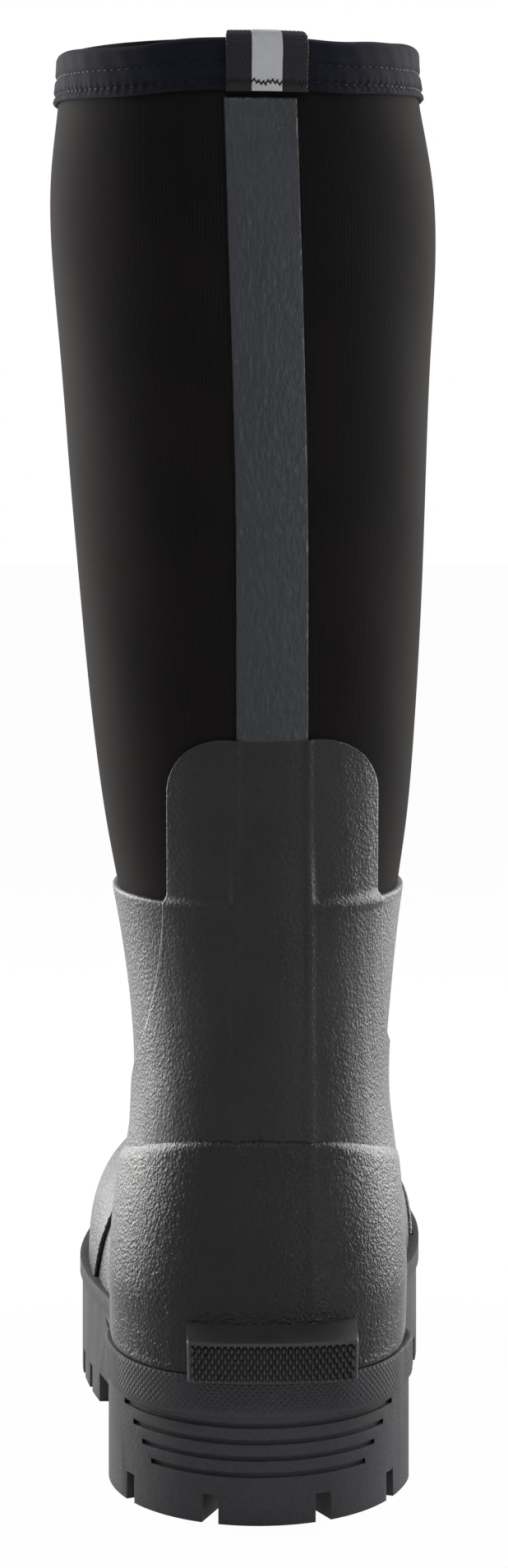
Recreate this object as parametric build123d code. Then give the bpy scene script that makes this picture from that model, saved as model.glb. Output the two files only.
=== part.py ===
from build123d import *
import os
from math import copysign, cos, hypot, pi, sin

# A tall insulated rubber boot for the left foot. A neoprene sock with a fabric lining is lasted
# into a rubber foot shell, which carries glued rubber guards and a lugged outsole.
# Frame: +Z up, +Y towards the toe, +X towards the inner side of the foot, millimetres.
# Origin: on the ground under the centre of the heel.

# ---------------------------------------------------------------- driving sizes
# Outside of the neoprene sock
foot_length = 284.0        # back of the heel to the tip of the toe
heel_width = 80.0
ball_width = 98.0
heel_seat = 22.0           # underside of the sock above the ground at the heel
ball_seat = 17.0           # the same at the ball of the foot
instep_height = 88.0       # top of the foot above the ground at the instep
ankle_height = 160.0
ankle_width = 81.0
ankle_depth = 123.0        # front to back
calf_height = 380.0
calf_width = 114.4
calf_depth = 156.0
rim_height = 418.0
rim_width = 105.5
rim_depth = 152.0
shaft_lean = -6.0          # sideways shift of the rim from the heel's centre
calf_lean = -4.8
ankle_lean = 0.2

# Layers, from the inside out
lining_wall = 1.0
foam_wall = 5.0
shell_wall = 1.8
guard_wall = 1.5
panel_wall = 1.0
stay_wall = 1.0
heel_wrap_cover = 0.5      # rubber of the heel wrap over the back stay
toe_cap_wall = 1.5
stiffener_wall = 1.2
toe_puff_wall = 1.0
toe_puff_back = 0.80       # share of the foot length
stiffener_reach = 70.0
stiffener_top = 92.0
board_wall = 2.0
binding_wall = 1.2
thread_wall = 0.4
webbing_wall = 1.4
reflector_wall = 0.3
seam_tape_wall = 0.5

# Rubber shell and guards
shell_top = 172.0          # upper edge of the rubber shell
lap_rise = 2.0             # how far a guard laps past the edge that it covers
guard_foot = 30.0          # lower edge of the guards, inside the sole's cup
front_guard_back = 147.0   # from the back of the heel to the guard's rear edge
front_guard_top = 216.0
front_guard_width = 76.0
heel_wrap_top = 109.0      # upper edge of the wrap behind the heel
heel_wrap_side = 98.5      # the same beside the heel's middle
heel_wrap_reach = 84.0     # from the back of the heel to the wrap's front edge at the sole
panel_top = 220.0
panel_width = 60.5
panel_shoulder = 17.0      # corner radius of the panel's rounded top
panel_flare = 74.0         # width of the panel at the top of the heel wrap
panel_foot = 78.0          # lower edge of the panel, under the heel wrap
stay_width = 20.8
stay_middle = 4.1          # sideways place of the stay's middle up to its bend
stay_bend = 290.0          # above this height the stay leans towards stay_rim
stay_rim = 0.2             # sideways place of the stay's middle at the rim
stay_foot = 62.0
stay_top = 404.0
toe_cap_back = 192.0
toe_cap_height = 60.0
kick_width = 50.0
kick_bottom = 43.0
kick_height = 11.0
kick_reach = 8.5           # how far the ledge stands out from the heel wrap
kick_slope = 2.0

# Collar
binding_drop = 14.0        # how far the binding comes down each side of the rim
thread_height = 0.6
stitch_rows = (3.0, 8.0)   # the two rows above the binding's lower edge
loop_width = 24.0
loop_drop = 17.0
loop_shift = 1.7           # the loop is sewn this far to the inner side of the stay's middle
loop_gap = 1.6             # daylight between the loop and the binding
reflector_width = 8.2
bartack_height = 1.2
bartack_rise = 2.4
seam_tape_width = 22.0
seam_tape_foot = 70.0

# Sole
sole_margin = 0.3          # how far the sole stands out past the widest part of the upper
sole_heel_margin = 1.8     # how much further it stands out behind the heel
sole_ball_margin = 1.4     # the same at the ball of the foot
sole_toe_margin = 6.0      # and at the toe, on top of that
band_foot = 31.0           # lower edge of the band round the top of the sole
band_step = 0.8            # the sole's wall lies this far inside the band
rim_lug_width = 16.0
tread_rows = 8
tread_pitch = 17.5
sole_edge_heel = 41.0
sole_edge_waist = 37.0
sole_edge_toe = 44.0
toe_spring = 12.0
toe_spring_start = 222.0
tread_depth = 8.0
heel_breast = 90.0
forefoot_tread = 130.0
arch_rise = 1.0            # the waist is this much higher than the tread's grooves
notch_width = 5.0
groove_height = 1.5
groove_depth = 1.2
groove_pitch = 4.6
groove_count = 4
groove_lowest = 14.2
groove_width_low = 61.0
groove_width_high = 77.0
midsole_base = 11.0
midsole_top = 24.0
midsole_wall = 7.0         # rubber left between the midsole and the side of the sole
shank_length = 112.0
shank_width = 18.0
shank_thickness = 1.2
shank_start = 52.0
rivet_radius = 3.0
rivet_height = 1.0
rivet_inset = 9.0
footbed_heel = 7.0
footbed_ball = 4.5
footbed_cover_wall = 0.8
footbed_clearance = 0.3

# ---------------------------------------------------------------- derived sizes
heel_centre = 45.0                       # from the sole's back edge to the origin
heel_back = 6.0 - heel_centre            # back of the sock, on the frame's Y axis
lining_inside = -(foam_wall + lining_wall)
panel_face = shell_wall + panel_wall
stay_face = panel_face + stay_wall
heel_wrap_face = stay_face + heel_wrap_cover
guard_face = shell_wall + guard_wall
toe_cap_face = guard_face + toe_cap_wall
binding_inside = lining_inside - binding_wall
binding_top = rim_height + binding_wall
binding_foot = rim_height - binding_drop
loop_face = binding_wall + webbing_wall
loop_top = binding_top + loop_gap + webbing_wall
far = 600.0                              # larger than the boot, for cutting tools

# ---------------------------------------------------------------- the shape of the last
# Shaft rows: height from ankle to calf, then how far the width and the depth have grown.
SHAFT = [
    (1.000, 1.00, 1.00),
    (0.773, 0.89, 0.87),
    (0.545, 0.73, 0.61),
    (0.318, 0.52, 0.30),
    (0.136, 0.28, 0.09),
]
# Foot rows, from the ankle to the toe. Each is one tilted slice of the foot:
# lower end (share of foot length, share of the rise from seat to ankle),
# upper end (share of foot length, share of instep height), sideways shift,
# half width (share of heel width, or of ball width from the sixth row on),
# where it is widest, and how square its lower and upper halves are.
FOOT = [
    (0.037, 0.783, 0.488, 1.625, 0.7, 0.463, 0.45, 2.1, 2.1),
    (0.021, 0.565, 0.505, 1.460, 0.5, 0.448, 0.40, 2.2, 2.1),
    (0.005, 0.362, 0.526, 1.330, 0.3, 0.481, 0.35, 2.3, 2.1),
    (0.000, 0.200, 0.548, 1.233, 0.0, 0.502, 0.32, 2.5, 2.1),
    (0.007, 0.072, 0.567, 1.161, 0.0, 0.502, 0.32, 2.7, 2.1),
    (0.049, 0.004, 0.586, 1.102, -1.0, 0.387, 0.33, 3.0, 2.1),
    (0.155, 0.000, 0.609, 1.043, -2.0, 0.376, 0.34, 3.5, 2.1),
    (0.278, 0.000, 0.637, 0.992, -4.5, 0.382, 0.35, 4.0, 2.2),
    (0.384, 0.000, 0.669, 0.947, -5.0, 0.426, 0.35, 4.0, 2.3),
    (0.472, 0.000, 0.702, 0.907, -4.5, 0.464, 0.35, 4.0, 2.4),
    (0.560, 0.000, 0.738, 0.870, -3.3, 0.497, 0.35, 4.0, 2.5),
    (0.648, 0.000, 0.775, 0.833, -2.0, 0.500, 0.36, 4.0, 2.5),
    (0.736, 0.000, 0.820, 0.784, -0.5, 0.475, 0.37, 4.0, 2.5),
    (0.813, 0.007, 0.866, 0.733, 0.7, 0.422, 0.38, 4.0, 2.5),
    (0.884, 0.022, 0.912, 0.670, 2.0, 0.345, 0.40, 3.5, 2.5),
    (0.940, 0.040, 0.951, 0.602, 2.5, 0.245, 0.42, 3.0, 2.4),
    (0.979, 0.065, 0.982, 0.528, 3.0, 0.140, 0.45, 2.6, 2.3),
    (0.996, 0.087, 0.998, 0.466, 3.5, 0.070, 0.48, 2.3, 2.2),
]
first_ball_row = 5
tip_rows = 3                             # slices so short that they move forward with the toe
ball_share = 0.560                       # where along the foot the seat is lowest
ring_steps = 12                          # places along each half of a slice
fine_steps = 240
collar_rows = 5                          # the rows that the collar's pieces need
rim_lip = 12.0                           # the working surface runs on this far above the rim
ankle_back = heel_back + 12.0
calf_back = heel_back - 11.0
rim_back = heel_back - 9.0


def seat_height(share):
    """Height of the foot's underside, a share of the way along the foot."""
    return heel_seat + (ball_seat - heel_seat) * min(1.0, share / ball_share)


def section_rows():
    """Every slice of the sock: lower end, upper end, shift, half width, widest, squareness."""
    rows = []
    for height in (rim_height + rim_lip, rim_height):
        rows.append(((rim_back, height), (rim_back + rim_depth, height),
                     shaft_lean, rim_width / 2, 0.5, 2.1, 2.1))
    ankle_front = ankle_back + ankle_depth
    calf_front = calf_back + calf_depth
    for up, wide, deep in SHAFT:
        height = ankle_height + (calf_height - ankle_height) * up
        rows.append(((ankle_back + (calf_back - ankle_back) * deep, height),
                     (ankle_front + (calf_front - ankle_front) * deep, height),
                     ankle_lean + (calf_lean - ankle_lean) * up,
                     (ankle_width + (calf_width - ankle_width) * wide) / 2, 0.5, 2.1, 2.1))
    rows.append(((ankle_back, ankle_height), (ankle_front, ankle_height + 3.0),
                 ankle_lean, ankle_width / 2, 0.5, 2.1, 2.1))
    for index, (low_u, low_v, top_u, top_v, shift, wide, widest, low, high) in enumerate(FOOT):
        seat = seat_height(low_u)
        across = heel_width if index < first_ball_row else ball_width
        rows.append(((heel_back + low_u * foot_length, seat + low_v * (ankle_height - heel_seat)),
                     (heel_back + top_u * foot_length, top_v * instep_height),
                     shift, wide * across, widest, low, high))
    return rows


ROWS = section_rows()
TOE_TIP = (heel_back + foot_length + 1.0, (ROWS[-1][0][1] + ROWS[-1][1][1]) / 2)


def normal_at(line, index, side):
    """Outward normal of the back line (side 1) or the front line (side -1) at one row."""
    before = line[max(index - 1, 0)]
    after = line[index + 1] if index + 1 < len(line) else TOE_TIP
    dy, dz = after[0] - before[0], after[1] - before[1]
    size = hypot(dy, dz)
    return side * dz / size, -side * dy / size


def grown_rows(grow):
    """The rows of the surface moved outward by grow. All but the toe's stay in their planes."""
    lows = [row[0] for row in ROWS]
    tops = [row[1] for row in ROWS]
    rows = []
    for index, (low, top, shift, half, widest, low_square, top_square) in enumerate(ROWS):
        ends = []
        length = hypot(top[0] - low[0], top[1] - low[1])
        for line, side, start, finish in ((lows, 1, top, low), (tops, -1, low, top)):
            ny, nz = normal_at(line, index, side)
            cy, cz = (finish[0] - start[0]) / length, (finish[1] - start[1]) / length
            if index < len(ROWS) - tip_rows:
                reach = grow / (ny * cy + nz * cz)
                ends.append((finish[0] + reach * cy, finish[1] + reach * cz))
            else:
                ends.append((finish[0] + grow * ny, finish[1] + grow * nz))
        rows.append((ends[0], ends[1], shift, half + grow, widest, low_square, top_square))
    return rows


def half_ring(row):
    """Evenly spaced places on the inner half of a slice: share of the way up, distance out."""
    low, top, _, half, widest, low_square, top_square = row
    length = hypot(top[0] - low[0], top[1] - low[1])
    fine = []
    for step in range(fine_steps + 1):
        along, across = cos(pi * step / fine_steps), sin(pi * step / fine_steps)
        square = low_square if along > 0 else top_square
        span = widest if along > 0 else 1 - widest
        fine.append((widest - copysign(span * abs(along) ** (2 / square), along),
                     half * abs(across) ** (2 / square)))
    run = [0.0]
    for before, after in zip(fine, fine[1:]):
        run.append(run[-1] + hypot((after[0] - before[0]) * length, after[1] - before[1]))
    places = []
    for step in range(ring_steps + 1):
        wanted = run[-1] * step / ring_steps
        index = min(sum(1 for mark in run if mark < wanted), fine_steps)
        index = max(index, 1)
        part = (wanted - run[index - 1]) / (run[index] - run[index - 1])
        before, after = fine[index - 1], fine[index]
        places.append((before[0] + (after[0] - before[0]) * part,
                       before[1] + (after[1] - before[1]) * part))
    return places


def ring(row):
    """One closed slice, as two splines that meet in the boot's middle plane."""
    low, top, shift = row[:3]
    inner, outer = [], []
    for share, out in half_ring(row):
        y = low[0] + (top[0] - low[0]) * share
        z = low[1] + (top[1] - low[1]) * share
        inner.append(Vector(shift + out, y, z))
        outer.append(Vector(shift - out, y, z))
    marks = [step / ring_steps for step in range(ring_steps + 1)]
    return Wire([Edge.make_spline(inner, parameters=marks),
                 Edge.make_spline(outer[::-1], parameters=marks)])


def loft(grow, end=None):
    """The solid inside the sock's outer surface, moved outward by grow, down to a row."""
    return Solid.make_loft([ring(row) for row in grown_rows(grow)[:end]])


LASTS = {}


def last_of(grow):
    """The whole solid inside the surface moved outward by grow, made once for each distance."""
    key = round(grow, 3)
    if key not in LASTS:
        LASTS[key] = loft(key)
    return LASTS[key]


def layer(inside, outside, end=None):
    """A wall that follows the boot, from one distance to the other, down to a row."""
    cores = [loft(inside, end), loft(outside, end)]
    sides, caps = [], []
    for core in cores:
        flat = [face for face in core.faces() if face.geom_type == GeomType.PLANE]
        sides += [face for face in core.faces() if face.geom_type != GeomType.PLANE]
        caps.append(sorted(flat, key=lambda face: -face.center().Z))
    rim = Face(caps[1][0].outer_wire(), [caps[0][0].outer_wire()])
    if end is None:
        foot = [caps[0][-1], caps[1][-1]]
    else:
        foot = [Face(caps[1][-1].outer_wire(), [caps[0][-1].outer_wire()])]
    return Solid(Shell(sides + [rim] + foot))


# ---------------------------------------------------------------- cutting tools
def slab(low, high):
    """Everything between two heights."""
    return Pos(0, 0, (low + high) / 2) * Box(far, far, high - low)


def side_prism(*points):
    """Everything inside an outline drawn in the side view, as (y, z) points."""
    outline = Polygon(*points, align=None)
    return extrude(Plane.YZ * outline, amount=far / 2, both=True)


def back_prism(outline, front):
    """Everything behind the plane y = front inside an outline drawn in the back view."""
    return Pos(0, front, 0) * extrude(Plane.XZ * outline, amount=far / 2)


def side_curve_prism(curve, corners):
    """A side-view prism whose first edge is a smooth curve, closed through straight corners."""
    start, end = curve[0], curve[-1]
    edges = [Edge.make_spline([Vector(0, y, z) for y, z in curve])]
    path = [end, *corners, start]
    edges += [Edge.make_line(Vector(0, *a), Vector(0, *b)) for a, b in zip(path, path[1:])]
    face = Face(Wire(edges))
    return extrude(face, amount=far / 2, dir=(1, 0, 0), both=True)


def lean_at(height):
    """Sideways place of the shaft's middle at a height."""
    if height >= calf_height:
        share = (height - calf_height) / (rim_height - calf_height)
        return calf_lean + (shaft_lean - calf_lean) * share
    share = max(0.0, (height - ankle_height) / (calf_height - ankle_height))
    return ankle_lean + (calf_lean - ankle_lean) * share


def kept(shape):
    """The shape's solids as one compound, without slivers left by a cut."""
    solids = [solid for solid in shape.solids() if solid.volume > 1.0]
    return solids[0] if len(solids) == 1 else Compound(children=solids)


# ---------------------------------------------------------------- sock and lining
def heel_stiffener_region():
    """Where the counter lies: round the heel, up to the ankle."""
    edge = heel_back + stiffener_reach
    return side_prism((-far, guard_foot), (edge, guard_foot), (edge - 14, 72.0),
                      (heel_back + 34, stiffener_top), (-far, stiffener_top))


def heel_stiffener():
    """Moulded counter between the sock and the rubber shell."""
    return kept(layer(-stiffener_wall, 0.0) & heel_stiffener_region())


def toe_puff_region():
    """Where the toe box lies: over and round the toes."""
    back = heel_back + toe_puff_back * foot_length
    return side_prism((back, guard_foot), (far, guard_foot), (far, 200.0), (back + 14, 200.0))


def toe_puff():
    """Moulded toe box between the sock and the rubber shell."""
    return kept(layer(-toe_puff_wall, 0.0) & toe_puff_region())


def board_region():
    """Everything under the upper edge of the insole board."""
    curve = [(heel_back + share * foot_length - 2.0,
              seat_height(share) + board_wall + 22.0 * max(0.0, share - 0.75))
             for share in (-0.1, 0.1, 0.3, ball_share, 0.75, 0.9, 1.1)]
    return side_curve_prism(curve, [(curve[-1][0], -5.0), (curve[0][0], -5.0)])


def insole_board():
    """Fibre board under the sock, between it and the rubber shell."""
    return kept(layer(-board_wall, 0.0) & board_region())


def neoprene_sock():
    """Foam sock from the toe to the rim, relieved for the stiffeners and the board."""
    wall = layer(-foam_wall, 0.0) & slab(0.0, rim_height)
    reliefs = ((heel_stiffener_region(), stiffener_wall), (toe_puff_region(), toe_puff_wall),
               (board_region(), board_wall))
    for region, depth in reliefs:
        wall = wall - (region - last_of(-depth))
    return kept(wall)


def lining():
    """Fabric inside the sock, from the toe to the rim."""
    return kept(layer(lining_inside, -foam_wall) & slab(0.0, rim_height))


def stay_line(height):
    """Sideways place of the stay's middle at a height."""
    share = max(0.0, (height - stay_bend) / (rim_height - stay_bend))
    return stay_middle + (stay_rim - stay_middle) * share


def stay_outline(width, low, high, shift=0.0):
    """A strip in the back view that follows the stay's middle line, or runs beside it."""
    half = width / 2
    levels = [low, stay_bend, high] if low < stay_bend < high else [low, high]
    right = [(stay_line(level) + shift + half, level) for level in levels]
    left = [(stay_line(level) + shift - half, level) for level in levels]
    return Polygon(*right, *left[::-1], align=None)


def inner_seam_tape():
    """Tape over the sock's closing seam, inside the back of the shaft."""
    region = back_prism(stay_outline(seam_tape_width, seam_tape_foot, binding_foot - 4.0), 0.0)
    return kept(layer(lining_inside - seam_tape_wall, lining_inside) & region)


# ---------------------------------------------------------------- rubber upper
def foot_shell():
    """Rubber shell over the whole foot, up to the ankle."""
    return kept(layer(0.0, shell_wall) & slab(0.0, shell_top))


def stepped(inside, wall, edge, region):
    """A wall in a region that rides over an edge: beneath it at a distance, above it on the sock."""
    outside = inside + wall
    ledge = edge + lap_rise
    under = layer(inside, outside) & region & slab(0.0, edge)
    over = layer(0.0, outside) & region & slab(edge, ledge)
    beyond = layer(0.0, wall) & region & slab(ledge, rim_height)
    return under + over + beyond


def front_guard_side():
    """Everything in front of the guard's rear edge, in the side view."""
    edge, peak = heel_back + front_guard_back, front_guard_top
    curve = [(edge, -1.0), (edge - 1.0, 60.0), (edge - 12.0, 110.0), (edge - 28.0, 150.0),
             (edge - 34.0, 190.0), (edge - 33.0, peak + 20.0)]
    side = side_curve_prism(curve, [(far, peak + 20.0), (far, -1.0)])
    return side & slab(guard_foot, peak)


def front_guard():
    """Toe and instep guard, which rises to a rounded peak on the shin."""
    middle, peak = lean_at(shell_top), front_guard_top
    side = front_guard_side()
    arch = Pos(middle, peak - far / 2) * RectangleRounded(front_guard_width, far, 24.0)
    flare = Pos(middle, shell_top - 20.0 - far / 2) * Rectangle(far, far)
    front = Pos(0, far / 2, 0) * extrude(Plane.XZ * (arch + flare), amount=far / 2)
    return kept(stepped(shell_wall, guard_wall, shell_top, side & front))


def back_panel_outline():
    """Rounded panel behind the ankle, which widens towards the heel."""
    middle = stay_middle
    foot_middle = (middle + lean_at(0.0)) / 2
    half, flare = panel_width / 2, panel_flare / 2
    upright = Pos(middle, (panel_top + shell_top) / 2 - 20.0) * RectangleRounded(
        panel_width, panel_top - shell_top + 40.0, panel_shoulder)
    lower = Polygon((middle - half, shell_top + 4.0), (middle - half, shell_top - 18.0),
                    (foot_middle - flare, heel_wrap_top + 10.0),
                    (foot_middle - flare - 1.0, panel_foot),
                    (foot_middle + flare + 1.0, panel_foot),
                    (foot_middle + flare, heel_wrap_top + 10.0),
                    (middle + half, shell_top - 18.0), (middle + half, shell_top + 4.0),
                    align=None)
    return upright + lower


def back_panel_region():
    """The panel's outline carried through the back of the boot."""
    return back_prism(back_panel_outline(), heel_back + 45.0)


def back_panel():
    """Rubber panel over the shell's edge, behind the ankle."""
    return kept(stepped(shell_wall, panel_wall, shell_top, back_panel_region()))


def back_stay_region():
    """The stay's outline carried through the back of the boot."""
    return back_prism(stay_outline(stay_width, stay_foot, stay_top - 2.0), heel_back + 45.0)


def back_stay():
    """Rubber strip over the sock's back seam, from the collar to the heel wrap."""
    region = back_stay_region()
    strip = stepped(panel_face, stay_wall, panel_top, region)
    panel = last_of(panel_face) & back_panel_region()
    return kept(strip - panel)


def heel_wrap_region():
    """Everything behind and below the heel wrap's front and upper edge."""
    reach = heel_back + heel_wrap_reach
    slope = (heel_wrap_top - heel_wrap_side) / (reach - 40.0 - heel_back)
    behind = heel_wrap_top + 30.0 * slope
    curve = [(reach, -1.0), (reach - 1.0, 45.0), (reach - 8.0, 74.0),
             (reach - 20.0, heel_wrap_side - 7.0), (reach - 40.0, heel_wrap_side),
             (heel_back, heel_wrap_top), (heel_back - 30.0, behind)]
    region = side_curve_prism(curve, [(-far, behind), (-far, -1.0)])
    return region & slab(guard_foot, far)


def heel_wrap():
    """Thick rubber round the heel, over the lower ends of the panel and the stay."""
    wall = layer(shell_wall, heel_wrap_face) & heel_wrap_region()
    wall = wall - (last_of(panel_face) & back_panel_region())
    return kept(wall - (last_of(stay_face) & back_stay_region()))


def toe_cap_region():
    """Everything in front of and below the bumper's edge, in the side view."""
    back = heel_back + toe_cap_back
    toe = heel_back + foot_length
    curve = [(back, guard_foot), (back + 18.0, 46.0), (toe - 40.0, toe_cap_height),
             (toe + 10.0, toe_cap_height + 3.0)]
    return side_curve_prism(curve, [(far, toe_cap_height + 3.0), (far, guard_foot)])


def toe_cap():
    """Bumper over the toe of the front guard."""
    return kept(layer(guard_face, toe_cap_face) & toe_cap_region())


def kick_ledge():
    """Ledge behind the heel, for pushing the boot off with the other foot."""
    middle = stay_middle * 0.8
    high = kick_bottom + kick_height
    outer = heel_back - heel_wrap_face - kick_reach
    slope = side_prism((-far, kick_bottom), (0.0, kick_bottom), (0.0, high + kick_slope),
                       (outer + kick_reach, high + kick_slope / 2), (outer, high - 1.0),
                       (-far, high - 1.0))
    band = layer(heel_wrap_face, heel_wrap_face + kick_reach) & slope
    outline = Pos(middle, kick_bottom) * Rectangle(kick_width, far)
    return kept(band & back_prism(outline, heel_back + 30.0))


# ---------------------------------------------------------------- collar
def topline_binding():
    """Folded binding over the rim, on the outside, the top and the inside."""
    band = layer(binding_inside, binding_wall, collar_rows) & slab(binding_foot, binding_top)
    sock = layer(lining_inside, 0.0, collar_rows) & slab(0.0, rim_height)
    return kept(band - sock)


def binding_stitching():
    """Two rows of thread round the outside of the binding."""
    outline = stay_outline(loop_width + 1.0, binding_foot - 5.0, binding_top, loop_shift)
    gap = back_prism(outline, 0.0)
    face = layer(binding_wall, binding_wall + thread_wall, collar_rows) - gap
    rows = [face & slab(binding_foot + rise, binding_foot + rise + thread_height)
            for rise in stitch_rows]
    return Compound(children=[solid for row in rows for solid in row.solids()])


def loop_outline(width):
    """The back view of a strap over the rim, from the loop's lower end up."""
    return stay_outline(width, rim_height - loop_drop, rim_height + rim_lip, loop_shift)


def pull_loop():
    """Webbing loop over the rim, sewn to the binding inside and outside."""
    strap = layer(binding_inside - webbing_wall, loop_face, collar_rows)
    core = layer(binding_inside, binding_wall, collar_rows)
    region = back_prism(loop_outline(loop_width), 0.0)
    strap = strap & region & slab(0.0, loop_top)
    return kept(strap - (core & slab(0.0, loop_top - webbing_wall)))


def reflective_stripe():
    """Reflective tape along the outside and the top of the loop."""
    region = back_prism(loop_outline(reflector_width), (rim_back - lining_inside) - 1.0)
    wrap = layer(lining_inside, loop_face + reflector_wall, collar_rows) & region
    wrap = wrap & slab(0.0, loop_top + reflector_wall)
    return kept(wrap - (last_of(loop_face) & slab(0.0, loop_top)))


def loop_bartack():
    """Thread that sews the outer leg of the loop to the binding, over the stripe."""
    low = rim_height - loop_drop + bartack_rise
    outline = stay_outline(loop_width - 3.0, low, low + bartack_height, loop_shift)
    region = back_prism(outline, 0.0)
    face = loop_face + reflector_wall
    tack = layer(loop_face, face + thread_wall, collar_rows) & region
    stripe = back_prism(loop_outline(reflector_width), 0.0) & last_of(face)
    return kept(tack - stripe)


# ---------------------------------------------------------------- sole
def plan_points(grow):
    """Outline of the foot seen from above, moved outward by grow and a little more at the toe."""
    rows = ROWS[-len(FOOT) + 4:]
    inner, outer = [], []
    for low, top, shift, half, widest, _, _ in rows:
        y = low[0] + (top[0] - low[0]) * widest
        inner.append((shift + half, y))
        outer.append((shift - half, y))
    start, middle, half = inner[0][1], rows[0][2], rows[0][3]
    heel = []
    for step in range(1, 8):
        turn = pi * step / 8
        heel.append((middle - half * cos(turn), start - (start - heel_back) * sin(turn)))
    points = outer[::-1] + heel + inner
    ball, tip = heel_back + ball_share * foot_length, heel_back + foot_length
    waist = heel_back + heel_breast
    grown = []
    for index, (x, y) in enumerate(points):
        before, after = points[index - 1], points[(index + 1) % len(points)]
        across, along = after[0] - before[0], after[1] - before[1]
        size = hypot(across, along)
        reach = grow + sole_toe_margin * max(0.0, (y - ball) / (tip - ball)) ** 2
        reach += sole_ball_margin * min(1.0, max(0.0, (y - waist) / (ball - waist)))
        reach += sole_heel_margin * max(0.0, (start - y) / (start - heel_back))
        grown.append(Vector(x + reach * along / size, y - reach * across / size))
    return grown


def plan_block(grow, low, high):
    """A block with the foot's outline, from one height to the other."""
    outline = Face(Wire([Edge.make_spline(plan_points(grow), periodic=True)]))
    return Pos(0, 0, low) * extrude(outline, amount=high - low, dir=(0, 0, 1))


def spring_at(y):
    """How high the toe spring lifts the sole's underside at a place along the boot."""
    start = heel_back + toe_spring_start
    tip = heel_back + foot_length + 14.0
    return toe_spring * max(0.0, (y - start) / (tip - start)) ** 2


def above(rise, top):
    """Everything between the sole's underside, raised by rise, and a height."""
    start = heel_back + toe_spring_start
    tip = heel_back + foot_length + 14.0
    places = [start + (tip - start) * step / 4 for step in range(5)]
    slope = 2 * toe_spring / (tip - start)
    spring = Edge.make_spline([Vector(0, y, rise + spring_at(y)) for y in places],
                              tangents=[Vector(0, 1, 0), Vector(0, 1, slope)])
    end = (tip, rise + toe_spring)
    corners = [end, (tip + 40.0, rise + toe_spring + 40.0 * slope), (tip + 40.0, top),
               (-far, top), (-far, rise), (start, rise)]
    rest = [Edge.make_line(Vector(0, *a), Vector(0, *b)) for a, b in zip(corners, corners[1:])]
    return extrude(Face(Wire([spring, *rest])), amount=far / 2, dir=(1, 0, 0), both=True)


def under_sole_edge():
    """Everything under the upper edge of the sole, in the side view."""
    toe = heel_back + foot_length
    curve = [(heel_back - 20.0, sole_edge_heel), (heel_back + 40.0, sole_edge_heel),
             (heel_back + 110.0, sole_edge_waist), (heel_back + 190.0, sole_edge_waist),
             (toe - 10.0, sole_edge_toe), (toe + 25.0, sole_edge_toe + 2.0)]
    return side_curve_prism(curve, [(toe + 25.0, -far), (heel_back - 20.0, -far)])


def tread_gaps():
    """The channels between the lugs round the edge of the sole."""
    gaps = []
    for turn in (-62, -18, 25, 66):
        gaps.append(Rot(0, 0, turn) * Pos(0, -42.0, 0) * Box(notch_width, 56.0, 2 * tread_depth))
    for step in range(tread_rows):
        y = heel_back + forefoot_tread + 14.0 + step * tread_pitch
        height = 2 * (tread_depth + spring_at(y))
        for side in (-1, 1):
            bar = Rot(0, 0, side * 12.0) * Box(50.0, notch_width, height)
            gaps.append(Pos(side * 47.0, y, 0) * bar)
    return gaps


def tread_bars():
    """The blocks in the middle of the tread, inside the ring of edge lugs."""
    bars = [Pos(0.0, side * 15.5, 5.0) * Box(50.0, 10.0, 10.0) for side in (-1, 0, 1)]
    for step in range(tread_rows - 1):
        y = heel_back + forefoot_tread + 8.0 + step * tread_pitch
        for side in (-1, 1):
            bar = Rot(0, 0, side * 24.0) * Box(19.0, 10.5, 12.0)
            bars.append(Pos(side * 11.5 - 1.0, y, 6.0 + spring_at(y)) * bar)
    return bars


def waist_gap():
    """The raised waist between the heel and the forefoot tread."""
    middle = heel_back + (heel_breast + forefoot_tread) / 2
    return Pos(0, middle, 0) * Box(far, forefoot_tread - heel_breast,
                                   2 * (tread_depth + arch_rise))


def sole_block():
    """The sole as one piece: a band at the top, a slightly narrower wall and the tread."""
    side = heel_wrap_face + sole_margin
    band = plan_block(side, 0.0, 60.0) & above(band_foot, 60.0)
    wall = plan_block(side - band_step, -1.0, 60.0) & above(0.0, 60.0)
    wall = wall - (plan_block(side - band_step - rim_lug_width, -1.0, 40.0)
                   - above(tread_depth, 60.0))
    for gap in tread_gaps():
        wall = wall - gap
    field = plan_block(side - band_step - rim_lug_width - 4.5, -1.0, 40.0) & above(0.0, 50.0)
    for bar in tread_bars():
        wall = wall + (field & bar)
    wall = wall - waist_gap()
    return (wall + band) & under_sole_edge()


def heel_grooves(block):
    """Four shallow grooves round the back of the sole."""
    side = heel_wrap_face + sole_margin - band_step - groove_depth
    core = plan_block(side, -5.0, 65.0)
    for step in range(groove_count):
        share = step / (groove_count - 1)
        width = groove_width_low + (groove_width_high - groove_width_low) * share
        low = groove_lowest + step * groove_pitch
        cut = Pos(0, -far / 4, low) * Box(width, far / 2, groove_height)
        block = block - (cut - core)
    return block


def midsole_block():
    """The space for the midsole: inside the sole, up to the guards' lower edge."""
    inset = heel_wrap_face + sole_margin - midsole_wall
    return plan_block(inset, 0.0, 60.0) & above(midsole_base, midsole_top)


def outsole():
    """Lugged rubber sole: a cup round the upper on a tread with a raised waist."""
    block = heel_grooves(sole_block())
    block = block - last_of(shell_wall) - (last_of(heel_wrap_face) & heel_wrap_region())
    block = block - (last_of(guard_face) & front_guard_side())
    block = block - (last_of(toe_cap_face) & toe_cap_region())
    return kept(block - midsole_block())


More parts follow.
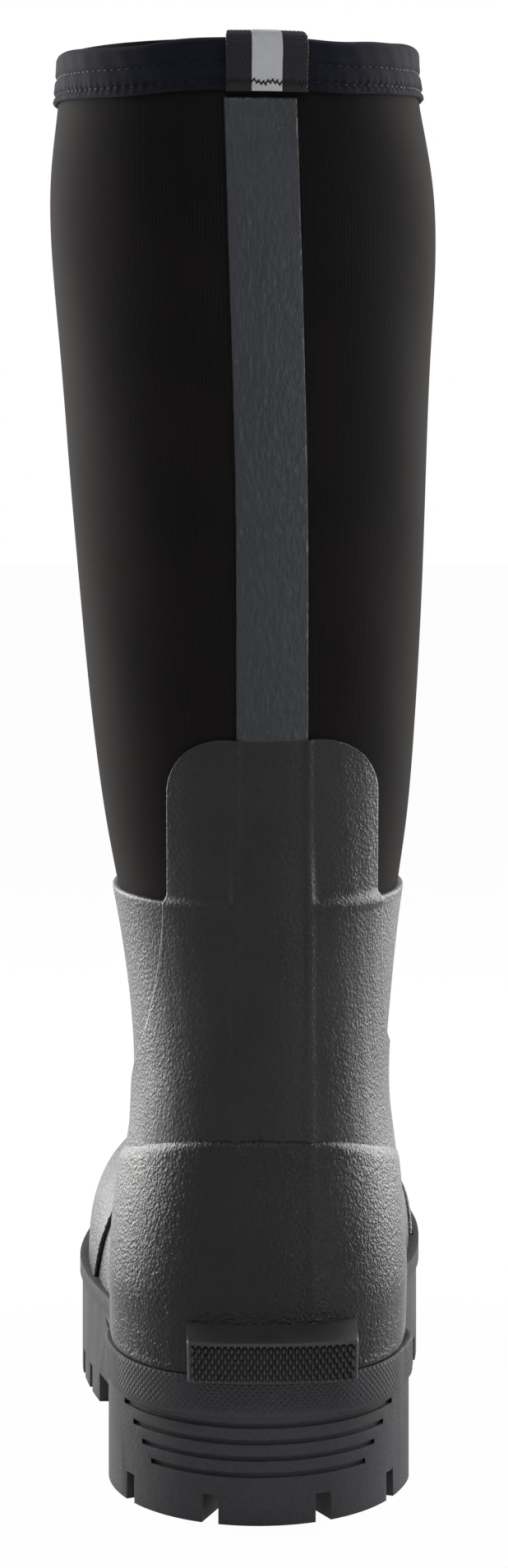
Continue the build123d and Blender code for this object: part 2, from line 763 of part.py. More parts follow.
def midsole():
    """Foam wedge in the sole, under the shell, with a seat for the shank."""
    block = midsole_block() - last_of(shell_wall)
    return kept(block - parts["steel_shank"] - parts["shank_rivets"])


def shank_shape(length, width, inset, low, high):
    """A strip with rounded ends along the waist of the sole."""
    middle = heel_back + shank_start + shank_length / 2
    outline = Pos(-2.0, middle) * SlotOverall(length - 2 * inset, width, rotation=90)
    return Pos(0, 0, low) * extrude(outline, amount=high - low)


def shank_level():
    """Height of the shank's underside, between the midsole's base and the shell."""
    return midsole_base + 2.0


def steel_shank():
    """Spring-steel strip that stiffens the waist."""
    low = shank_level()
    return kept(shank_shape(shank_length, shank_width, 0.0, low, low + shank_thickness))


def shank_rivets():
    """Two rivet heads that hold the shank down."""
    middle = heel_back + shank_start + shank_length / 2
    reach = shank_length / 2 - rivet_inset
    level = shank_level() + shank_thickness + rivet_height / 2
    heads = [Pos(-2.0, middle + side * reach, level) * Cylinder(rivet_radius, rivet_height)
             for side in (-1, 1)]
    return Compound(children=[head.solids()[0] for head in heads])


def footbed_region(lift):
    """Everything under the footbed's upper face, raised by lift, in the side view."""
    floor_heel = heel_seat - lining_inside
    floor_ball = ball_seat - lining_inside
    toe = heel_back + foot_length
    curve = [(heel_back - 10.0, floor_heel + footbed_heel + lift),
             (heel_back + 50.0, floor_heel + footbed_heel + lift - 0.5),
             (heel_back + 110.0, floor_heel + footbed_heel + lift - 1.5),
             (heel_back + 165.0, floor_ball + footbed_ball + lift),
             (toe - 60.0, floor_ball + footbed_ball + lift),
             (toe + 10.0, floor_ball + footbed_ball + lift + 5.0)]
    return side_curve_prism(curve, [(toe + 10.0, -10.0), (heel_back - 10.0, -10.0)])


def footbed():
    """Removable foam insole that lies on the lining."""
    return kept(last_of(lining_inside) & footbed_region(-footbed_cover_wall))


def footbed_cover():
    """Fabric on top of the removable insole."""
    slice_ = last_of(lining_inside) & footbed_region(0.0)
    return kept(slice_ - footbed_region(-footbed_cover_wall))


parts = {}
for make in (heel_stiffener, toe_puff, insole_board, neoprene_sock, lining, inner_seam_tape,
             foot_shell, front_guard, back_panel, back_stay, heel_wrap, toe_cap, kick_ledge,
             topline_binding, binding_stitching, pull_loop, reflective_stripe, loop_bartack,
             steel_shank, shank_rivets, midsole, outsole, footbed, footbed_cover):
    parts[make.__name__] = make()

os.makedirs("parts", exist_ok=True)
for name, shape in parts.items():
    export_step(shape, f"parts/{name}.step")
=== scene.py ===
import math

import bmesh
import bpy
import numpy as np
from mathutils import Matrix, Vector


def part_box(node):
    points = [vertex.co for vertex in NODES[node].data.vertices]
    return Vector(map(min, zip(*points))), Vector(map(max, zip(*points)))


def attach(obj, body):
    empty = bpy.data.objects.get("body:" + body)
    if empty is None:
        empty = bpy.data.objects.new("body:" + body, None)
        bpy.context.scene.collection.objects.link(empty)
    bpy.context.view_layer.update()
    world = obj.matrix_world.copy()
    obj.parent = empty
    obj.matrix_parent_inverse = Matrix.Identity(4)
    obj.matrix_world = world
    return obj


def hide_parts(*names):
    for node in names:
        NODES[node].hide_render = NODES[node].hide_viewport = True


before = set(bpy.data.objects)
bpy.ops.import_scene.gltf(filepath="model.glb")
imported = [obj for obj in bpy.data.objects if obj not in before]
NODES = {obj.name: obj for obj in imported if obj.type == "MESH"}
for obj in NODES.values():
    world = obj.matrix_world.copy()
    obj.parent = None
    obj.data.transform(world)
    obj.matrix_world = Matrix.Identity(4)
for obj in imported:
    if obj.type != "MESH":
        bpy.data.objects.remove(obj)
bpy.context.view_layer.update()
rng = np.random.default_rng(7)
MM = 0.001


# ---------------------------------------------------------------- the surface that everything follows
# The last's slices, in millimetres, as the part's source has them.
HEEL_BACK = -39.0
FOOT_LENGTH = 284.0
WIDTHS = (80.0, 98.0)      # heel, ball
SEATS = (22.0, 17.0)       # under the heel, under the ball
BALL_SHARE = 0.56
INSTEP = 88.0
ANKLE = (160.0, 81.0, 123.0, 0.2)      # height, width, depth, lean
CALF = (380.0, 114.4, 156.0, -4.8)
RIM = (418.0, 105.5, 152.0, -6.0)
BACKS = (HEEL_BACK + 12.0, HEEL_BACK - 11.0, HEEL_BACK - 9.0)   # ankle, calf, rim
SHAFT = ((1.0, 1.0, 1.0), (0.773, 0.89, 0.87), (0.545, 0.73, 0.61), (0.318, 0.52, 0.30),
         (0.136, 0.28, 0.09))
FOOT = (
    (0.037, 0.783, 0.488, 1.625, 0.7, 0.463, 0.45, 2.1, 2.1),
    (0.021, 0.565, 0.505, 1.460, 0.5, 0.448, 0.40, 2.2, 2.1),
    (0.005, 0.362, 0.526, 1.330, 0.3, 0.481, 0.35, 2.3, 2.1),
    (0.000, 0.200, 0.548, 1.233, 0.0, 0.502, 0.32, 2.5, 2.1),
    (0.007, 0.072, 0.567, 1.161, 0.0, 0.502, 0.32, 2.7, 2.1),
    (0.049, 0.004, 0.586, 1.102, -1.0, 0.387, 0.33, 3.0, 2.1),
    (0.155, 0.000, 0.609, 1.043, -2.0, 0.376, 0.34, 3.5, 2.1),
    (0.278, 0.000, 0.637, 0.992, -4.5, 0.382, 0.35, 4.0, 2.2),
    (0.384, 0.000, 0.669, 0.947, -5.0, 0.426, 0.35, 4.0, 2.3),
    (0.472, 0.000, 0.702, 0.907, -4.5, 0.464, 0.35, 4.0, 2.4),
    (0.560, 0.000, 0.738, 0.870, -3.3, 0.497, 0.35, 4.0, 2.5),
    (0.648, 0.000, 0.775, 0.833, -2.0, 0.500, 0.36, 4.0, 2.5),
    (0.736, 0.000, 0.820, 0.784, -0.5, 0.475, 0.37, 4.0, 2.5),
    (0.813, 0.007, 0.866, 0.733, 0.7, 0.422, 0.38, 4.0, 2.5),
    (0.884, 0.022, 0.912, 0.670, 2.0, 0.345, 0.40, 3.5, 2.5),
    (0.940, 0.040, 0.951, 0.602, 2.5, 0.245, 0.42, 3.0, 2.4),
    (0.979, 0.065, 0.982, 0.528, 3.0, 0.140, 0.45, 2.6, 2.3),
    (0.996, 0.087, 0.998, 0.466, 3.5, 0.070, 0.48, 2.3, 2.2),
)
TIP_ROWS = 3
HALF = 240                 # table columns on each side of the boot
TALL = 1000                # table rows


def section_rows():
    """Every slice: lower end, upper end, shift, half width, widest, squareness below and above."""
    rows = [((BACKS[2], z), (BACKS[2] + RIM[2], z), RIM[3], RIM[1] / 2, 0.5, 2.1, 2.1)
            for z in (RIM[0] + 12.0, RIM[0])]
    fronts = (BACKS[0] + ANKLE[2], BACKS[1] + CALF[2])
    for up, wide, deep in SHAFT:
        z = ANKLE[0] + (CALF[0] - ANKLE[0]) * up
        rows.append(((BACKS[0] + (BACKS[1] - BACKS[0]) * deep, z),
                     (fronts[0] + (fronts[1] - fronts[0]) * deep, z),
                     ANKLE[3] + (CALF[3] - ANKLE[3]) * up,
                     (ANKLE[1] + (CALF[1] - ANKLE[1]) * wide) / 2, 0.5, 2.1, 2.1))
    rows.append(((BACKS[0], ANKLE[0]), (fronts[0], ANKLE[0] + 3.0), ANKLE[3], ANKLE[1] / 2,
                 0.5, 2.1, 2.1))
    for index, (low_u, low_v, top_u, top_v, shift, wide, widest, low, high) in enumerate(FOOT):
        seat = SEATS[0] + (SEATS[1] - SEATS[0]) * min(1.0, low_u / BALL_SHARE)
        rows.append(((HEEL_BACK + low_u * FOOT_LENGTH, seat + low_v * (ANKLE[0] - SEATS[0])),
                     (HEEL_BACK + top_u * FOOT_LENGTH, top_v * INSTEP), shift,
                     wide * WIDTHS[0 if index < 5 else 1], widest, low, high))
    return rows


def grown(rows, grow):
    """The slices of the surface moved outward by grow."""
    tip = (HEEL_BACK + FOOT_LENGTH + 1.0, (rows[-1][0][1] + rows[-1][1][1]) / 2)
    lines = ([np.array(r[0]) for r in rows] + [np.array(tip)],
             [np.array(r[1]) for r in rows] + [np.array(tip)])
    out = []
    for i, (low, top, shift, half, widest, ls, ts) in enumerate(rows):
        ends = []
        for line, side, start, finish in ((lines[0], 1, top, low), (lines[1], -1, low, top)):
            run = line[i + 1] - line[max(i - 1, 0)]
            normal = side * np.array((run[1], -run[0])) / np.hypot(*run)
            chord = np.array(finish) - np.array(start)
            chord /= np.hypot(*chord)
            step = chord * grow / (normal @ chord) if i < len(rows) - TIP_ROWS else normal * grow
            ends.append(tuple(np.array(finish) + step))
        out.append((ends[0], ends[1], shift, half + grow, widest, ls, ts))
    return out


def ring_points(row):
    """Closed slice of 2 * HALF + 1 evenly spaced places, from the lower end up the inner side."""
    low, top, shift, half, widest, ls, ts = row
    turn = np.linspace(0, math.pi, 1201)
    along, across = np.cos(turn), np.sin(turn)
    square = np.where(along > 0, ls, ts)
    span = np.where(along > 0, widest, 1 - widest)
    share = widest - np.copysign(span * np.abs(along) ** (2 / square), along)
    out = half * np.abs(across) ** (2 / square)
    size = math.hypot(top[0] - low[0], top[1] - low[1])
    run = np.r_[0, np.cumsum(np.hypot(np.diff(share) * size, np.diff(out)))]
    even = np.linspace(0, run[-1], HALF + 1)
    share, out = np.interp(even, run, share), np.interp(even, run, out)
    y, z = low[0] + (top[0] - low[0]) * share, low[1] + (top[1] - low[1]) * share
    inner, outer = np.c_[shift + out, y, z], np.c_[shift - out, y, z]
    return np.vstack([inner, outer[-2::-1]])


def spline_weights(knots, at):
    """Matrix that turns values at the knots into a smooth curve's values at other places."""
    count, h = len(knots), np.diff(knots)
    left, right = np.eye(count), np.zeros((count, count))
    for i in range(1, count - 1):
        left[i, i - 1:i + 2] = h[i - 1], 2 * (h[i - 1] + h[i]), h[i]
        right[i, i - 1:i + 2] = 6 / h[i - 1], -6 / h[i - 1] - 6 / h[i], 6 / h[i]
    bend = np.linalg.solve(left, right)
    k = np.clip(np.searchsorted(knots, at, side="right") - 1, 0, count - 2)
    b = ((at - knots[k]) / h[k])[:, None]
    a = 1 - b
    eye, size = np.eye(count), (h[k] ** 2 / 6)[:, None]
    return a * eye[k] + b * eye[k + 1] + ((a ** 3 - a) * bend[k] + (b ** 3 - b) * bend[k + 1]) * size


def make_tables():
    """The surface, and how each place moves when the surface grows outward or inward by 1."""
    rows = section_rows()
    rings = {grow: np.array([ring_points(r) for r in grown(rows, grow)]) for grow in (0, 4, -6)}
    steps = np.linalg.norm(np.diff(rings[0], axis=0), axis=2).mean(1)
    knots = np.r_[0, np.cumsum(steps)]
    weights = spline_weights(knots, np.linspace(0, knots[-1], TALL))
    shape = {grow: np.tensordot(weights, ring, (1, 0)) for grow, ring in rings.items()}
    return shape[0], (shape[4] - shape[0]) / 4, (shape[0] - shape[-6]) / 6


SURFACE, OUTWARD, INWARD = make_tables()
sock_low, sock_high = (np.array(c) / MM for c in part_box("neoprene_sock"))
table_low = SURFACE[SURFACE[..., 2] <= RIM[0]].min(0)
table_high = SURFACE[SURFACE[..., 2] <= RIM[0]].max(0)
table_high[2] = RIM[0]
SURFACE = sock_low + (SURFACE - table_low) * (sock_high - sock_low) / (table_high - table_low)


def sample(table, v, u):
    """Table values at row v and ring place u (0 at the back, 0.5 at the front, any turn)."""
    v, u = np.broadcast_arrays(np.clip(v, 0, TALL - 1.001), u)
    col = (u % 1.0) * 2 * HALF
    r, c = v.astype(int), np.minimum(col.astype(int), 2 * HALF - 1)
    fr, fc = (v - r)[..., None], (col - c)[..., None]
    return ((table[r, c] * (1 - fc) + table[r, c + 1] * fc) * (1 - fr)
            + (table[r + 1, c] * (1 - fc) + table[r + 1, c + 1] * fc) * fr)


def place(v, u, t):
    """Points at distance t outside the sock's surface (negative: inside)."""
    t = np.broadcast_to(t, np.broadcast(v, u).shape)[..., None]
    return sample(SURFACE, v, u) + np.where(t > 0, sample(OUTWARD, v, u), sample(INWARD, v, u)) * t


# Where each column crosses each height, and how far round that is from the back.
LEVEL_STEP = 0.5
LEVELS = np.arange(24.0, 429.5, LEVEL_STEP)
ROW_AT = np.empty((len(LEVELS), 2 * HALF + 1))
for column in range(2 * HALF + 1):
    heights = SURFACE[:, column, 2]
    foot = int(np.argmin(heights))
    down = np.maximum.accumulate(-heights[:foot + 1])
    ROW_AT[:, column] = np.interp(-LEVELS, down, np.arange(foot + 1))
around = np.broadcast_to(np.arange(2 * HALF + 1) / (2 * HALF), ROW_AT.shape)
LEVEL_POINTS = sample(SURFACE, ROW_AT, np.minimum(around, 0.999999))
steps = np.linalg.norm(np.diff(LEVEL_POINTS, axis=1), axis=2)
RUN = {1: np.c_[np.zeros(len(LEVELS)), np.cumsum(steps[:, :HALF], axis=1)],
       -1: np.c_[np.zeros(len(LEVELS)), np.cumsum(steps[:, :HALF - 1:-1], axis=1)]}


def level_place(u, z):
    """Row and ring place of points given by ring place and height."""
    level = np.clip((z - LEVELS[0]) / LEVEL_STEP, 0, len(LEVELS) - 1.001)
    k = level.astype(int)
    col = (u % 1.0) * 2 * HALF
    c = np.minimum(col.astype(int), 2 * HALF - 1)
    fr, fc = level - k, col - c
    v = ((ROW_AT[k, c] * (1 - fc) + ROW_AT[k, c + 1] * fc) * (1 - fr)
         + (ROW_AT[k + 1, c] * (1 - fc) + ROW_AT[k + 1, c + 1] * fc) * fr)
    return v, u


def level_index(z):
    """Index of the level at or just under a height."""
    return int((z - LEVELS[0]) / LEVEL_STEP)


def rows_at_height(z, cols):
    """Table rows where ring places cols cross a height."""
    return np.interp(cols, np.linspace(0, 1, 2 * HALF + 1), ROW_AT[level_index(z)])


def from_wrap(s, z):
    """Row and ring place of points given by distance round from the back and height."""
    s, z = np.broadcast_arrays(np.asarray(s, float), np.asarray(z, float))
    level = np.clip((z - LEVELS[0]) / LEVEL_STEP, 0, len(LEVELS) - 1.001)
    below = level.astype(int)
    u = np.empty(s.shape)
    share = np.arange(HALF + 1) / (2 * HALF)
    for k in np.unique(below):
        here = below == k
        part = level[here] - k
        for side in (1, -1):
            a = np.interp(side * s[here], RUN[side][k], share)
            b = np.interp(side * s[here], RUN[side][k + 1], share)
            found = side * (a * (1 - part) + b * part)
            u[here] = np.where(side * s[here] >= 0, found, u[here])
    return level_place(u, z)


def wrap_at(axis, value, z, side=None):
    """Distance round from the back, at one height, of the place with x (axis 0) or y (axis 1)."""
    k = int(np.clip(round((z - LEVELS[0]) / LEVEL_STEP), 0, len(LEVELS) - 1))
    points = LEVEL_POINTS[k]
    if side is None:
        side = 1 if value >= points[0, 0] else -1
    cols = np.arange(HALF + 1) if side == 1 else np.arange(2 * HALF, HALF - 1, -1)
    line = points[cols, axis] * (side if axis == 0 else 1)
    end = int(np.argmax(line)) + 1
    return side * float(np.interp(value * (side if axis == 0 else 1),
                                  np.maximum.accumulate(line[:end]), RUN[side][k][:end]))


def smooth(x, low, high):
    """0 below low, 1 above high, smooth between."""
    t = np.clip((x - low) / (high - low), 0, 1)
    return t * t * (3 - 2 * t)


def evened(values, kernel):
    """Values along a line, averaged with their neighbours by the kernel's weights."""
    padded = np.pad(values, len(kernel) // 2, mode="edge")
    return np.convolve(padded, kernel / kernel.sum(), mode="valid")


def rounded(d, radius):
    """Height share of an edge rounded over radius, at distance d inside it."""
    x = 1 - np.clip(d / radius, 0, 1)
    return np.sqrt(np.maximum(1 - x * x, 0))


def graded(length, step, fine=(0.0, 0.12, 0.35, 0.7, 1.2, 2.0)):
    """Shares from 0 to 1 along a length, about step apart and finer near both ends."""
    fine = np.array([f for f in fine if f < length / 2.5])
    inner = np.linspace(fine[-1], length - fine[-1], max(2, int(length / step)))[1:-1]
    return np.r_[fine, inner, (length - fine)[::-1]] / length


# ---------------------------------------------------------------- meshes
def linked(name, data):
    """A new object in the scene."""
    obj = bpy.data.objects.new(name, data)
    bpy.context.scene.collection.objects.link(obj)
    return obj


def vertex_places(mesh):
    """The places of a mesh's vertices, in metres."""
    co = np.zeros(len(mesh.vertices) * 3, np.float32)
    mesh.vertices.foreach_get("co", co)
    return co.reshape(-1, 3)


def new_object(name, points, faces, uv=None):
    """A mesh object in metres from millimetre points, with its normals facing outward."""
    mesh = bpy.data.meshes.new(name)
    mesh.from_pydata((np.asarray(points) * MM).tolist(), [], faces)
    if uv is not None:
        layer = mesh.uv_layers.new(name="weave")
        layer.data.foreach_set("uv", (np.asarray(uv, np.float32) * MM).ravel())
    work = bmesh.new()
    work.from_mesh(mesh)
    bmesh.ops.recalc_face_normals(work, faces=work.faces)
    work.to_mesh(mesh)
    work.free()
    mesh.polygons.foreach_set("use_smooth", [True] * len(mesh.polygons))
    return linked(name, mesh)


def shell(name, outer, inner, closed=False, tip=False):
    """Closed wall between two grids of points. closed: columns run round; tip: last rows capped."""
    rows, cols = outer.shape[:2]
    count = rows * cols
    points = np.vstack([outer.reshape(-1, 3), inner.reshape(-1, 3)])
    wide = cols if closed else cols - 1
    line = outer if not closed else np.concatenate([outer, outer[:, :1]], axis=1)
    across = np.c_[np.zeros(rows), np.cumsum(np.linalg.norm(np.diff(line, axis=1), axis=2), axis=1)]
    along = np.vstack([np.zeros(cols), np.cumsum(np.linalg.norm(np.diff(outer, axis=0), axis=2),
                                                 axis=0)])
    along = np.c_[along, along[:, :1]]
    mean_across = np.broadcast_to(across.mean(0), across.shape)
    r, c = np.meshgrid(np.arange(rows - 1), np.arange(wide), indexing="ij")
    r, c = r.ravel(), c.ravel()
    n = (c + 1) % cols
    quads = np.c_[r * cols + c, r * cols + n, (r + 1) * cols + n, (r + 1) * cols + c]

    def uv_of(rr, cc):
        return np.stack([mean_across[rr, cc], along[rr, cc]], axis=-1)

    face_uv = np.stack([uv_of(r, c), uv_of(r, c + 1), uv_of(r + 1, c + 1), uv_of(r + 1, c)], axis=1)
    faces = [quads, quads[:, ::-1] + count]
    uvs = [face_uv, face_uv[:, ::-1]]
    for edge in [0] if tip else [0, rows - 1]:
        c = np.arange(wide)
        n = (c + 1) % cols
        strip = np.c_[edge * cols + c, edge * cols + n, edge * cols + n + count,
                      edge * cols + c + count]
        faces.append(strip)
        e = np.full_like(c, edge)
        uvs.append(np.stack([uv_of(e, c), uv_of(e, c + 1), uv_of(e, c + 1), uv_of(e, c)], axis=1))
    if not closed:
        for edge in (0, cols - 1):
            r = np.arange(rows - 1)
            faces.append(np.c_[r * cols + edge, (r + 1) * cols + edge,
                               (r + 1) * cols + edge + count, r * cols + edge + count])
            e = np.full_like(r, edge)
            uvs.append(np.stack([uv_of(r, e), uv_of(r + 1, e), uv_of(r + 1, e), uv_of(r, e)], axis=1))
    faces = np.vstack(faces).tolist()
    uvs = list(np.vstack(uvs).reshape(-1, 2))
    if tip:
        for layer, grid in ((0, outer), (count, inner)):
            points = np.vstack([points, grid[-1].mean(0)])
            middle = len(points) - 1
            for c in range(wide):
                faces.append([layer + (rows - 1) * cols + c, layer + (rows - 1) * cols + (c + 1) % cols,
                              middle])
                uvs += [uv_of(rows - 1, c), uv_of(rows - 1, c + 1), uv_of(rows - 1, c)]
    return new_object(name, points, faces, np.array(uvs))


def edge_distance(points):
    """Distance of each grid point from the four sides of its grid, along the grid's lines."""
    across = np.linalg.norm(np.diff(points, axis=1), axis=2)
    along = np.linalg.norm(np.diff(points, axis=0), axis=2)
    left = np.c_[np.zeros(len(points)), np.cumsum(across, axis=1)]
    first = np.vstack([np.zeros(points.shape[1]), np.cumsum(along, axis=0)])
    return left, left[:, -1:] - left, first, first[-1:] - first


def coons(bottom, top, left, right, across, along):
    """(distance round, height) grid between four boundary curves, given as functions of a share."""
    b, t = np.array([bottom(x) for x in across]), np.array([top(x) for x in across])
    lf, rt = np.array([left(x) for x in along]), np.array([right(x) for x in along])
    x, y = across[None, :, None], along[:, None, None]
    flat = (b[0] * (1 - x) + b[-1] * x) * (1 - y) + (t[0] * (1 - x) + t[-1] * x) * y
    return (1 - y) * b[None] + y * t[None] + (1 - x) * lf[:, None] + x * rt[:, None] - flat


def path_of(points):
    """A function from share to place along a line of (distance round, height) points."""
    points = np.array(points, float)
    run = np.r_[0, np.cumsum(np.linalg.norm(np.diff(points, axis=0), axis=1))]
    return lambda x: np.array([np.interp(x * run[-1], run, points[:, 0]),
                               np.interp(x * run[-1], run, points[:, 1])])


# ---------------------------------------------------------------- materials
def linear(code):
    """Linear colour of an sRGB hex code."""
    values = [int(code[i:i + 2], 16) / 255 for i in (0, 2, 4)]
    return tuple(((v + 0.055) / 1.055) ** 2.4 if v > 0.04045 else v / 12.92 for v in values) + (1,)


class Paint:
    """A node material, built by small calls."""

    def __init__(self, name, rough, **constants):
        self.material = bpy.data.materials.new(name)
        self.material.use_nodes = True
        self.tree = self.material.node_tree
        self.shader = self.tree.nodes["Principled BSDF"]
        self.shader.inputs["Roughness"].default_value = rough
        for key, value in constants.items():
            self.shader.inputs[key.replace("_", " ")].default_value = value
        self.coords = self.tree.nodes.new("ShaderNodeTexCoord")

    def add(self, kind, inputs=(), **settings):
        node = self.tree.nodes.new("ShaderNode" + kind)
        for key, value in settings.items():
            setattr(node, key, value)
        for key, value in dict(inputs).items():
            if isinstance(value, bpy.types.NodeSocket):
                self.tree.links.new(value, node.inputs[key])
            else:
                node.inputs[key].default_value = value
        return node

    def math(self, operation, a, b=0.0, c=0.0):
        return self.add("Math", {0: a, 1: b, 2: c}, operation=operation).outputs[0]

    def where(self, space="Object", scale=(1, 1, 1), turn=(0, 0, 0)):
        found = self.add("Mapping", {"Vector": self.coords.outputs[space], "Scale": scale,
                                     "Rotation": turn})
        return found.outputs[0]

    def noise(self, scale, detail=3.0, rough=0.55, vector=None, distortion=0.0):
        node = self.add("TexNoise", {"Vector": vector or self.coords.outputs["Object"],
                                     "Scale": scale, "Detail": detail, "Roughness": rough,
                                     "Distortion": distortion})
        return node.outputs[0]

    def cells(self, scale, vector=None, feature="F1"):
        node = self.add("TexVoronoi", {"Vector": vector or self.coords.outputs["Object"],
                                       "Scale": scale}, feature=feature)
        return node.outputs["Distance"]

    def remap(self, value, low, high, to_low=0.0, to_high=1.0):
        node = self.add("MapRange", {"Value": value, "From Min": low, "From Max": high,
                                     "To Min": to_low, "To Max": to_high},
                        interpolation_type="SMOOTHSTEP")
        return node.outputs[0]

    def mix(self, factor, a, b):
        node = self.add("Mix", data_type="RGBA")
        for key, value in ((0, factor), (6, a), (7, b)):
            if isinstance(value, bpy.types.NodeSocket):
                self.tree.links.new(value, node.inputs[key])
            else:
                node.inputs[key].default_value = value
        return node.outputs[2]

    def yarns(self, space, up, pitch):
        """Height of crossing yarns that run along the first coordinate and the one called up."""
        split = self.add("SeparateXYZ", {"Vector": self.coords.outputs[space]})
        k = 2 * math.pi / pitch
        a = self.math("SINE", self.math("MULTIPLY", split.outputs[0], k))
        b = self.math("SINE", self.math("MULTIPLY", split.outputs[up], k))
        return self.math("MULTIPLY_ADD", self.math("MULTIPLY", a, b), 0.5, 0.5)

    def blend(self, a, share, b):
        """Sum of two values, a counting share and b the rest."""
        return self.math("ADD", self.math("MULTIPLY", a, share), self.math("MULTIPLY", b, 1 - share))

    def colour(self, value):
        self.set("Base Color", value)

    def set(self, key, value):
        if isinstance(value, bpy.types.NodeSocket):
            self.tree.links.new(value, self.shader.inputs[key])
        else:
            self.shader.inputs[key].default_value = value

    def bump(self, height, depth, strength=1.0):
        node = self.add("Bump", {"Height": height, "Distance": depth, "Strength": strength})
        self.tree.links.new(node.outputs[0], self.shader.inputs["Normal"])


def rubber(name, code, dark, rough=(0.34, 0.44), pebble=1050.0, depth=0.00026, coat=0.0, stretch=1.0,
           shine=0.2):
    """Moulded rubber with a leather-like grain: dimples and short wrinkles."""
    p = Paint(name, rough[0], Coat_Weight=coat, Coat_Roughness=0.28, Specular_IOR_Level=shine)
    at = p.where(scale=(1.0, 1.0, stretch))
    wrinkle = p.math("ABSOLUTE", p.math("SUBTRACT", p.noise(pebble * 0.7, 2.0, 0.5, at, 0.3), 0.5))
    grain = p.math("ADD", p.math("MULTIPLY", p.cells(pebble, at, "SMOOTH_F1"), 0.7),
                   p.math("MULTIPLY", wrinkle, 1.6))
    cloud = p.noise(38.0, 4.0)
    shade = p.blend(p.remap(grain, 0.1, 0.7), 0.45, p.remap(cloud, 0.3, 0.7))
    p.colour(p.mix(shade, linear(dark), linear(code)))
    p.set("Roughness", p.remap(cloud, 0.3, 0.7, rough[0], rough[1]))
    p.bump(grain, depth, 0.9)
    return p


def make_materials():
    """Every material, by name."""
    made = {}
    made["shell"] = rubber("shell_rubber", "272729", "18181a")
    made["guard"] = rubber("guard_rubber", "202022", "111113", rough=(0.28, 0.38), depth=0.00034)
    made["stay"] = rubber("stay_rubber", "2e3138", "1e2025", rough=(0.36, 0.46), pebble=760.0,
                          depth=0.00075, stretch=0.38, shine=0.35)
    made["sole"] = rubber("sole_rubber", "434447", "353638", rough=(0.6, 0.75), pebble=1100.0,
                          depth=0.00014, shine=0.18)
    made["kick"] = rubber("kick_rubber", "363638", "262628", rough=(0.38, 0.5), pebble=1400.0,
                          depth=0.00006, coat=0.05, shine=0.3)

    p = Paint("neoprene_knit", 0.9, Sheen_Weight=0.03, Sheen_Roughness=0.3,
              Sheen_Tint=linear("b8a698"), Specular_IOR_Level=0.05)
    ribs = p.add("TexWave", {"Vector": p.coords.outputs["UV"], "Scale": 0.314 / 0.0009},
                 wave_type="BANDS", bands_direction="X").outputs[1]
    fuzz = p.noise(1500.0, 2.0)
    cloud = p.noise(22.0, 4.0)
    p.colour(p.mix(p.remap(p.blend(ribs, 0.3, cloud), 0.25, 0.75), linear("171616"), linear("201e1d")))
    p.bump(p.math("ADD", p.math("MULTIPLY", ribs, 0.4), p.math("MULTIPLY", fuzz, 0.5)), 0.00012, 0.6)
    made["neoprene"] = p

    def weave(name, light, dark, pitch, depth, rough=0.8, sheen=0.25, shine=0.2):
        """Woven or knitted cloth: crossing yarns on the piece's own run and height."""
        w = Paint(name, rough, Sheen_Weight=sheen, Sheen_Roughness=0.5, Specular_IOR_Level=shine)
        yarn = w.yarns("UV", 1, pitch)
        fuzz = w.noise(1800.0, 2.0)
        w.colour(w.mix(w.blend(yarn, 0.4, w.noise(70.0, 4.0)), linear(dark), linear(light)))
        w.bump(w.math("ADD", yarn, w.math("MULTIPLY", fuzz, 0.6)), depth, 0.8)
        return w

    made["lining"] = weave("lining_knit", "2e2e31", "222224", 0.0012, 0.0002)
    made["tape"] = weave("seam_tape", "28282b", "1c1c1f", 0.0014, 0.0002)
    made["binding"] = weave("binding_cloth", "20222c", "13141b", 0.0009, 0.00012, 0.9, 0.0, 0.1)
    made["webbing"] = weave("webbing_cloth", "25262b", "0b0b0e", 0.0013, 0.0003, 0.6, 0.04, 0.2)
    made["footbed_knit"] = weave("footbed_knit", "34363c", "26282d", 0.0016, 0.0002)

    p = Paint("thread_polyester", 0.6, Specular_IOR_Level=0.2)
    twist = p.add("TexWave", {"Vector": p.where(turn=(0.6, 0.4, 0.7)), "Scale": 700.0,
                              "Distortion": 1.0}).outputs[1]
    p.colour(p.mix(twist, linear("07080b"), linear("14161c")))
    p.bump(twist, 0.0001)
    made["thread"] = p

    p = Paint("reflector_tape", 0.42, Specular_IOR_Level=0.6)
    yarn = p.yarns("Object", 2, 0.0011)
    p.colour(p.mix(p.blend(yarn, 0.5, p.noise(240.0)), linear("b4b6bb"), linear("dcdde0")))
    p.bump(yarn, 0.0001)
    made["reflector"] = p

    def moulded(name, light, dark, rough, metal=0.0, grain=500.0, depth=0.0001):
        """Plain moulded, pressed or rolled sheet with a fine grain."""
        m = Paint(name, rough, Metallic=metal)
        cloud, fine = m.noise(60.0, 5.0), m.noise(grain, 3.0)
        m.colour(m.mix(m.remap(cloud, 0.3, 0.7), linear(dark), linear(light)))
        m.set("Roughness", m.remap(fine, 0.2, 0.8, rough, rough + 0.15))
        m.bump(fine, depth, 0.6)
        return m

    made["foam"] = moulded("footbed_foam", "3a3d44", "2d3037", 0.7, grain=900.0)
    made["stiffener"] = moulded("stiffener_sheet", "8f887d", "7c766c", 0.6)
    made["board"] = moulded("fibre_board", "ae9878", "937d5f", 0.8, grain=300.0)
    made["midsole"] = moulded("midsole_foam", "505154", "424346", 0.75, grain=900.0)
    made["steel"] = moulded("spring_steel", "9a9ea3", "7d8186", 0.3, metal=1.0, grain=1400.0)
    return made


PAINTS = make_materials()


